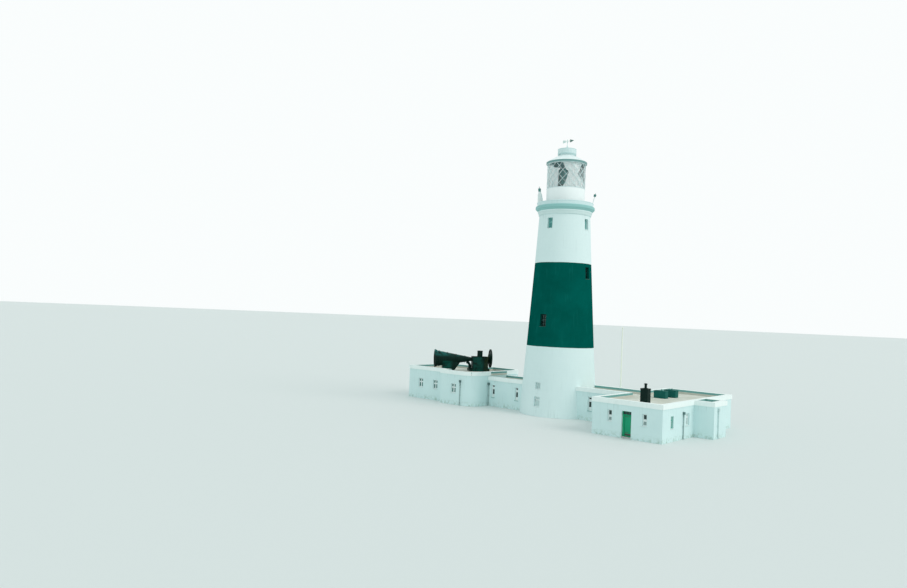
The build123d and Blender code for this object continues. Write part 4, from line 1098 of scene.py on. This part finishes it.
# Roofs: flat concrete under gritted felt, laid in strips with lapped seams. Rain dries in pale rings and
# grit has washed into the corners.
STRIP = 0.95
STRIP_LENGTH = 6.0
LAP = 0.018
felt = Finish("gritted_felt")
lap = coursing(felt, felt.place, STRIP_LENGTH, STRIP, {"Mortar Size": LAP, "Mortar Smooth": 0.6})
puddles = felt.noise(1.9, 4.0)
grit = felt.noise(0.008, 2.0)
felt_colour = felt.layered(
    (0.58, 0.60, 0.52),
    (puddles.rising(0.35, 0.65), (0.70, 0.72, 0.65)),
    (lap * 0.45, (0.30, 0.34, 0.30)),
    (grit.rising(0.55, 0.7) * 0.35, (0.36, 0.39, 0.34)),
)
felt.set(
    base_color=felt_colour,
    roughness=0.88,
    normal=felt.relief(grit * 0.4 + lap * 0.6, 0.005),
)
painted(felt, "wing_roofs")

# Front door: a boarded leaf painted green, ledged behind, with iron furniture, in a green frame with a
# side board, under a fixed light. It opens inwards on the left edge.
DOOR_LEFT = 13.208
DOOR_RIGHT = 13.932
DOOR_FACE = -8.62
LEAF_THICK = 0.05
DOOR_FOOT = 0.158
DOOR_TOP = 2.142
BOARD_GAP = 0.004
door_paint = Finish("door_paint")
door_wear = door_paint.noise(0.03, 4.0, (1, 1, 0.15))
door_fade = door_paint.noise(0.5, 3.0)
door_colour = door_paint.layered(
    (0.008, 0.34, 0.165),
    (door_fade * 0.5, (0.022, 0.41, 0.22)),
    (door_wear.rising(0.6, 0.8) * 0.3, (0.006, 0.18, 0.09)),
)
door_paint.set(
    base_color=door_colour,
    roughness=0.45 + door_wear * 0.15,
    specular_ior_level=0.2,
    normal=door_paint.relief(door_wear, 0.001),
)
painted(door_paint, "front_door")
BOARDS = 5
board_width = (DOOR_RIGHT - DOOR_LEFT) / BOARDS
board_size = (board_width - BOARD_GAP, 0.010, DOOR_TOP - DOOR_FOOT - BOARD_GAP)
board = block("board", (0, 0, 0), board_size, 0.004)
board_middles = [DOOR_LEFT + board_width * (step + 0.5) for step in range(BOARDS)]
boards = [Matrix.Translation((x, DOOR_FACE - 0.003, (DOOR_FOOT + DOOR_TOP) / 2)) for x in board_middles]
door_middle = (DOOR_LEFT + DOOR_RIGHT) / 2
ledges = [
    block("ledge", (door_middle + 0.01, DOOR_FACE + LEAF_THICK + 0.008, height), (0.62, 0.020, 0.12), 0.004)
    for height in (0.35, 1.15, 1.80)
]
bar_place = (door_middle, DOOR_FACE - 0.020, DOOR_FOOT + 0.05)
weather_bar = block("weather_bar", bar_place, (0.70, 0.036, 0.07), 0.010)
door_work = joined("door_boards", [copied("boards", board, boards), *ledges, weather_bar])
fitted(door_work, door_paint, "door")

# Door furniture: a lock plate, knob and pull, a kick plate and two strap hinges, forged or cut from iron
# and screwed to the boards.
furniture = Finish("door_furniture")
furniture_wear = furniture.noise(0.02, 4.0)
furniture.set(
    base_color=furniture.colour(furniture_wear, (0.05, 0.055, 0.05), (0.16, 0.16, 0.14)),
    metallic=0.8,
    roughness=0.35 + furniture_wear * 0.25,
)
handle_x = DOOR_RIGHT - 0.075
LOOK_OUT = Matrix.Rotation(radians(90), 4, "X")
KNOB = [(0.012, 0), (0.012, 0.03), (0.026, 0.038), (0.032, 0.052), (0.026, 0.068), (0.010, 0.074)]
knob = turned("knob", KNOB, 24)
furniture_parts = [
    block("lock_plate", (handle_x, DOOR_FACE - 0.010, 1.14), (0.055, 0.006, 0.24), 0.002),
    moved(knob, Matrix.Translation((handle_x, DOOR_FACE - 0.012, 1.19)) @ LOOK_OUT),
    block("pull", (handle_x, DOOR_FACE - 0.030, 1.06), (0.014, 0.012, 0.13), 0.004),
    block("kick_plate", (door_middle, DOOR_FACE - 0.0095, DOOR_FOOT + 0.19), (0.66, 0.004, 0.18), 0.001),
]
furniture_parts += [
    block("strap_hinge", (DOOR_LEFT + 0.20, DOOR_FACE - 0.010, height), (0.36, 0.006, 0.045), 0.002)
    for height in (0.55, 2.00)
]
fitted(joined("door_iron", furniture_parts), furniture, "door")

# Bars of the light over the door: two upright timber bars, tenoned into its frame in front of the glass
# and painted with it.
fan_bars = [
    block("fan_bar", (x, DOOR_FACE - 0.005, 2.355), (0.022, 0.030, 0.27), 0.005) for x in (13.353, 13.647)
]
fitted(joined("fanlight_bars", fan_bars), joinery)

# Roof plant of the dwelling: a square black flue stack of bolted plate with a stub pipe and cowl, and two
# dark tanks with lids on bearers.
LOW_ROOF = 3.1
STACK = Vector((14.15, -6.5, LOW_ROOF))
STACK_WIDTH, STACK_DEPTH = 0.75, 0.65
TANK_WIDTH, TANK_DEPTH = 1.28, 0.70
TANK_TOP = 3.82
plant = Finish("plant_paint")
plant_wear = plant.noise(0.12, 5.0, rough=0.7)
plant_runs = streaks(plant, 0.05)
plant_colour = plant.layered(
    (0.002, 0.012, 0.009),
    (plant_wear * 0.6, (0.010, 0.040, 0.034)),
    (plant.y.rising(-3.0, -2.9), (0.008, 0.125, 0.105)),
    (plant_runs * 0.3, (0.07, 0.16, 0.14)),
    (plant_wear.rising(0.64, 0.74) * 0.4, (0.10, 0.05, 0.025)),
)
plant.set(
    base_color=plant_colour,
    roughness=0.50 + plant_wear * 0.25,
    specular_ior_level=0.12,
    normal=plant.relief(plant_wear, 0.002),
)
painted(plant, "roof_stack", "roof_tanks")
stack_parts = [
    block("stack_band", STACK + Vector((0, 0, height)), (STACK_WIDTH + wide, STACK_DEPTH + wide, 0.05), 0.006)
    for height, wide in ((0.04, 0.11), (0.75, 0.05), (1.44, 0.05))
]
cap_size = (STACK_WIDTH + 0.04, STACK_DEPTH + 0.04, 0.045)
stack_parts.append(block("stack_cap", STACK + Vector((0, 0, 1.515)), cap_size, 0.010))
stub_place = Matrix.Translation(STACK + Vector((0, 0, 1.50)))
COWL = ((0.125, 0.40), (0.17, 0.42), (0.17, 0.46), (0.12, 0.51), (0.03, 0.53))
stack_parts += [
    moved(turned("stub_flange", [(0.20, 0.04), (0.20, 0.07), (0.135, 0.09)], 32), stub_place),
    moved(bead("stub_band", 0.122, 0.26, 0.012, 32), stub_place),
    moved(turned("cowl", COWL, 32), stub_place),
]
BOLT_ROWS = (0.20, 0.59, 0.91, 1.30)
stack_bolts = []
for sign in (-1, 1):
    sideways = Matrix.Rotation(sign * pi / 2, 4, "Y")
    endways = Matrix.Rotation(-sign * pi / 2, 4, "X")
    side_face = sign * STACK_WIDTH / 2
    end_face = sign * STACK_DEPTH / 2
    for height in BOLT_ROWS:
        spots = [((side_face, along, height), sideways) for along in (-0.24, -0.08, 0.08, 0.24)]
        spots += [((along, end_face, height), endways) for along in (-0.28, -0.09, 0.09, 0.28)]
        stack_bolts += [Matrix.Translation(STACK + Vector(spot)) @ facing for spot, facing in spots]
stack_parts.append(copied("stack_bolts", bolt(0.024), stack_bolts))
fitted(joined("stack_bands", stack_parts), plant)
tank_parts = []
for x, y in ((12.39, 0.50), (12.66, 2.35)):
    vent = turned("vent", [(0.035, 0), (0.035, 0.10), (0.06, 0.11), (0.06, 0.13), (0.02, 0.15)], 16)
    outlet = turned("outlet", [(0.05, 0), (0.05, 0.02), (0.03, 0.025), (0.03, 0.09)], 16)
    tank_parts += [
        block("lid", (x, y, TANK_TOP + 0.015), (TANK_WIDTH + 0.06, TANK_DEPTH + 0.06, 0.045), 0.008),
        block("lid_crown", (x, y, TANK_TOP + 0.045), (TANK_WIDTH - 0.06, TANK_DEPTH - 0.06, 0.03), 0.012),
        moved(vent, Matrix.Translation((x, y + 0.15, TANK_TOP + 0.05))),
        moved(outlet, Matrix.Translation((x, y - TANK_DEPTH / 2 + 0.005, LOW_ROOF + 0.20)) @ LOOK_OUT),
    ]
    for sign in (-1, 1):
        strap = (x + sign * 0.38, y, TANK_TOP + 0.06)
        tank_parts.append(block("lid_strap", strap, (0.05, TANK_DEPTH + 0.08, 0.012), 0.003))
        bearer = (x + sign * 0.42, y, LOW_ROOF + 0.03)
        tank_parts.append(block("bearer", bearer, (0.09, TANK_DEPTH + 0.12, 0.06), 0.006))
    for height in (3.36, 3.60):
        swage = (TANK_WIDTH + 0.03, TANK_DEPTH + 0.03, 0.03)
        tank_parts.append(block("tank_swage", (x, y, height), swage, 0.010))
fitted(joined("tank_fittings", tank_parts), plant)

# Rainwater pipes: painted cast iron, each with a hopper at its head, ears nailed to the wall at every
# socket, and a shoe at its foot. A pipe is its place, the side it looks to, and its height.
DOWNPIPES = (
    (-10.65, -SIGNAL_FACE, FRONT, 3.05),
    (-8.7, -LINK_FACE, FRONT, 2.80),
    (-8.7, LINK_FACE, REAR, 2.80),
    (DWELLING_RIGHT, -4.55, RIGHT, 2.60),
    (DWELLING_RIGHT, 4.40, RIGHT, 2.60),
    (19.1, -1.20, RIGHT, 2.95),
)
PIPE_OUT = 0.08
pipe_paint = Finish("pipe_paint")
pipe_wear = pipe_paint.noise(0.06, 4.0)
hopper_dark = pipe_paint.z.rising(2.30, 2.42)
on_annex = pipe_paint.x.rising(18.9, 19.0)
pipe_colour = pipe_paint.layered(
    (0.34, 0.47, 0.46),
    (pipe_wear * 0.4, (0.26, 0.38, 0.37)),
    (hopper_dark * 0.85, (0.045, 0.12, 0.115)),
    (on_annex * 0.85, (0.60, 0.76, 0.75)),
    (pipe_wear.rising(0.66, 0.76) * 0.4, (0.22, 0.13, 0.07)),
)
pipe_paint.worn(pipe_colour, pipe_wear, 0.45, 0.2, 0.001)
painted(pipe_paint, "rainwater_pipes")
pipe_trim = []
for x, y, side, top in DOWNPIPES:
    place = Matrix.Translation((x, y, 0)) @ Matrix.Rotation(radians(side), 4, "Z")
    sockets = [height for height in (0.35, 1.25, 2.15) if height < top - 0.35]
    collar = turned("socket", [(0.051, -0.05), (0.062, -0.045), (0.062, 0.045), (0.051, 0.05)], 20, True)
    ear = block("ear", (0.02, 0, 0), (0.03, 0.19, 0.045), 0.006)
    unit = joined("ears", [moved(collar, Matrix.Translation((PIPE_OUT, 0, 0))), ear])
    pipe_trim.append(copied("ears", unit, [place @ Matrix.Translation((0, 0, height)) for height in sockets]))
    rim = block("hopper_rim", (0.088, 0, top - 0.02), (0.182, 0.25, 0.03), 0.006)
    throat = turned("hopper_throat", [(0.052, top - 0.36), (0.085, top - 0.26)], 20)
    pipe_trim.append(moved(rim, place))
    pipe_trim.append(moved(throat, place @ Matrix.Translation((PIPE_OUT, 0, 0))))
    shoe = block("shoe", (0.113, 0, 0.085), (0.13, 0.10, 0.07), 0.02)
    pipe_trim.append(moved(shoe, place))
fitted(joined("pipe_fittings", pipe_trim), pipe_paint)

# Flagstaff: one tapered larch pole, white, with a turned truck at its head, cleat for the halyard and two
# iron straps on the bracket arms.
staff_paint = Finish("staff_paint")
staff_grain = staff_paint.noise(0.03, 4.0, (1, 1, 0.05))
staff_colour = staff_paint.colour(staff_grain.rising(0.4, 0.8) * 0.5, (0.93, 0.96, 0.86), (0.80, 0.86, 0.74))
staff_paint.worn(staff_colour, staff_grain, 0.5, 0.2, 0.0015)
painted(staff_paint, "flagstaff")
STAFF_X, STAFF_Y = 6.28, 3.1
STAFF = Matrix.Translation((STAFF_X, STAFF_Y, 0))
TRUCK = ((0.056, 10.17), (0.09, 10.19), (0.10, 10.22), (0.07, 10.26), (0.02, 10.28))
staff_parts = [
    moved(turned("truck", TRUCK, 24), STAFF),
    moved(bead("strap", 0.105, 0.90, 0.012, 24), STAFF),
    moved(bead("strap", 0.096, 2.70, 0.012, 24), STAFF),
    block("cleat_stem", (STAFF_X, STAFF_Y - 0.12, 1.30), (0.03, 0.05, 0.06), 0.006),
    block("cleat", (STAFF_X, STAFF_Y - 0.148, 1.30), (0.024, 0.022, 0.22), 0.008),
]
fitted(joined("staff_fittings", staff_parts), staff_paint)

# Fog signal: two riveted iron trumpets over the roof, the long one to the left on a bolted cradle, the
# short one to the right on a plated housing, all in dark green, with a painted highlight of lighter teal along
# the top where the sky lights it.
SIGNAL_X, SIGNAL_Y = -14.93, 0.725
SIGNAL_TURN = radians(50)
SIGNAL = Matrix.Translation((SIGNAL_X, SIGNAL_Y, 0)) @ Matrix.Rotation(SIGNAL_TURN, 4, "Z")


def trumpet_line(height):
    """The line of a trumpet at a height over the ground, as an upright line laid over."""
    return SIGNAL @ Matrix.Translation((0, 0, height)) @ Matrix.Rotation(radians(90), 4, "Y")


LONG_LINE = trumpet_line(5.17)
SHORT_LINE = trumpet_line(5.35)
signal = Finish("signal_paint")
signal_wear = signal.noise(0.15, 5.0, rough=0.7)
signal_runs = streaks(signal, 0.05)
along_line = (signal.x - SIGNAL_X) * cos(SIGNAL_TURN) + (signal.y - SIGNAL_Y) * sin(SIGNAL_TURN)
fade = signal.noise(0.55, 3.0).rising(0.30, 0.60)
on_cradle = along_line.rising(-3.3, -3.0) * along_line.rising(-1.7, -2.1) * signal.z.rising(5.0, 4.8)
on_housing = along_line.rising(0.7, 0.9) * along_line.rising(2.3, 1.9) * signal.z.rising(5.6, 5.5)
far_end = along_line.rising(2.2, 2.5) * along_line.rising(3.0, 2.9) * fade
# A painted highlight: lighter teal along the upper side of the trumpets, where the sky lights them.
painted_sky_highlight = signal.z.rising(5.35, 5.95) * along_line.rising(0.6, 0.4) * fade
signal_colour = signal.layered(
    (0.0008, 0.012, 0.008),
    (signal_wear * 0.6, (0.0015, 0.034, 0.026)),
    (signal_runs * 0.35, (0.004, 0.075, 0.062)),
    ((on_cradle + on_housing * 0.7) * fade, (0.001, 0.085, 0.065)),
    (far_end * 0.7, (0.022, 0.036, 0.010)),
    (painted_sky_highlight * 0.8, (0.010, 0.19, 0.17)),
    (signal_wear.rising(0.66, 0.76) * 0.35, (0.06, 0.035, 0.02)),
)
signal.set(
    base_color=signal_colour,
    roughness=0.42 + signal_wear * 0.22,
    specular_ior_level=0.14,
    normal=signal.relief(signal_wear, 0.0015),
)
painted(signal, "long_horn", "short_horn", "horn_bend", "horn_cradle", "signal_housing", "housing_cap")
FLANGE_PROUD = 0.055
FLANGE_THICK = 0.045


def flange(line, radius, along, count):
    """A bolted ring round a trumpet at a place along its line, with its bolt heads on the left face."""
    left_face = along - FLANGE_THICK / 2
    right_face = along + FLANGE_THICK / 2
    rings = [
        (radius - 0.01, left_face),
        (radius + FLANGE_PROUD, left_face),
        (radius + FLANGE_PROUD, right_face),
        (radius - 0.01, right_face),
    ]
    turnover = Matrix.Rotation(pi, 4, "X")
    heads = [line @ place @ turnover for place in round_about(count, radius + FLANGE_PROUD / 2, left_face)]
    return [moved(turned("flange", rings, 48, True), line), copied("flange_bolts", bolt(0.022), heads)]


# The long trumpet is a cone from its throat, on the right, to the start of its bell
THROAT, BELL = 0.23, 0.97
CONE_START, CONE_LENGTH = 0.80, 4.40


def cone_radius(along):
    """The long trumpet's radius at a place along the line."""
    return THROAT + (BELL - THROAT) * (CONE_START - along) / CONE_LENGTH


horn_parts = flange(SHORT_LINE, 0.52, 2.99, 14)
for along, count in ((-3.60, 20), (-2.50, 16), (-1.35, 14), (-0.20, 12), (0.74, 10)):
    horn_parts += flange(LONG_LINE, cone_radius(along), along, count)
for along in (-3.05, -1.90):
    hoop = cone_radius(along)
    rings = [
        (hoop, along - 0.05),
        (hoop + 0.026, along - 0.05),
        (hoop - 0.002, along + 0.05),
        (hoop - 0.02, along + 0.05),
    ]
    horn_parts.append(moved(turned("hoop", rings, 48, True), LONG_LINE))
for line, radius, along in (
    (LONG_LINE, 1.153, -4.14),
    (LONG_LINE, 1.153, -4.04),
    (SHORT_LINE, 1.203, 3.26),
    (SHORT_LINE, 1.203, 3.16),
):
    horn_parts.append(moved(bead("rim_bead", radius, along, 0.014, 64), line))
gusset = block("gusset", (0.045, 0, 0), (0.10, 0.014, 0.16), 0.003)
horn_parts.append(ringed("gussets", gusset, LONG_LINE, 12, 1.0, -3.945, 15))
fitted(joined("trumpet_fittings", horn_parts), signal)

# Stands of the fog signal: a bed plate with ribs under the long trumpet, angles, doors and louvres on the
# housing, and a capped vent and the feed pipe's flanges, all bolted to the roof.
CRADLE_MIDDLE = -2.37
HOUSING_MIDDLE = 1.81
HOUSING_FACE = 0.75
stand_parts = [
    block("bed_plate", (CRADLE_MIDDLE, 0, 3.675), (1.60, 1.30, 0.05), 0.006),
    block("base_angle", (HOUSING_MIDDLE - 0.15, 0, 3.975), (2.73, 1.74, 0.05), 0.006),
    block("top_angle", (HOUSING_MIDDLE, 0, 5.515), (2.09, 1.57, 0.05), 0.006),
    block("mid_angle", (HOUSING_MIDDLE, 0, 4.82), (2.05, 1.53, 0.03), 0.006),
]
for sign in (-1, 1):
    for along in (-0.70, -0.23, 0.24, 0.71):
        rib_middle = (CRADLE_MIDDLE + along, sign * 0.565, 4.18)
        stand_parts.append(block("cradle_rib", rib_middle, (0.05, 0.05, 0.96), 0.006))
    leaf = (HOUSING_MIDDLE - 0.36, sign * (HOUSING_FACE + 0.012), 4.40)
    stand_parts.append(block("door_leaf", leaf, (0.80, 0.03, 0.70), 0.006))
    leaf_bar = (HOUSING_MIDDLE - 0.69, sign * (HOUSING_FACE + 0.035), 4.40)
    stand_parts.append(block("door_bar", leaf_bar, (0.03, 0.03, 0.20), 0.006))
    for step in range(6):
        louvre = (HOUSING_MIDDLE + 0.49, sign * (HOUSING_FACE + 0.015), 4.95 + step * 0.085)
        stand_parts.append(block("louvre", louvre, (0.62, 0.035, 0.045), 0.010))
    for along in (-0.95, 0.95):
        corner = (HOUSING_MIDDLE + along, sign * (HOUSING_FACE - 0.005), 4.76)
        stand_parts.append(block("corner_angle", corner, (0.07, 0.04, 1.50), 0.006))
cap_place = Matrix.Translation((HOUSING_MIDDLE, 0, 0))
feed_place = Matrix.Translation((0.50, 0, 0))
CAP_LID = ((0.39, 6.24), (0.40, 6.27), (0.38, 6.30), (0.22, 6.33), (0.04, 6.34))
FEED_FLANGE = ((0.165, 4.24), (0.225, 4.24), (0.225, 4.28), (0.165, 4.28))
stand_parts += [
    moved(turned("cap_foot", [(0.43, 5.54), (0.43, 5.58), (0.36, 5.60)], 40), cap_place),
    moved(bead("cap_bead", 0.352, 5.92, 0.016, 40), cap_place),
    moved(turned("cap_lid", CAP_LID, 40), cap_place),
    ringed("cap_bolts", bolt(0.024), cap_place, 12, 0.395, 5.58),
    moved(turned("feed_foot", [(0.255, 4.00), (0.255, 4.04), (0.18, 4.06)], 32), feed_place),
    moved(turned("feed_flange", FEED_FLANGE, 32, True), feed_place),
    ringed("feed_bolts", bolt(0.018), feed_place, 10, 0.198, 4.28),
]
bed_bolts = [(x, sign * 0.605, 3.70) for x in (-3.10, -2.84, -2.37, -1.90, -1.63) for sign in (-1, 1)]
bed_bolts += [(x, sign * 0.80, 4.00) for x in (0.45, 1.05, 1.66, 2.27, 2.88) for sign in (-1, 1)]
stand_parts.append(copied("bed_bolts", bolt(0.028), [Matrix.Translation(place) for place in bed_bolts]))
fitted(moved(joined("signal_stand_fittings", stand_parts), SIGNAL), signal)
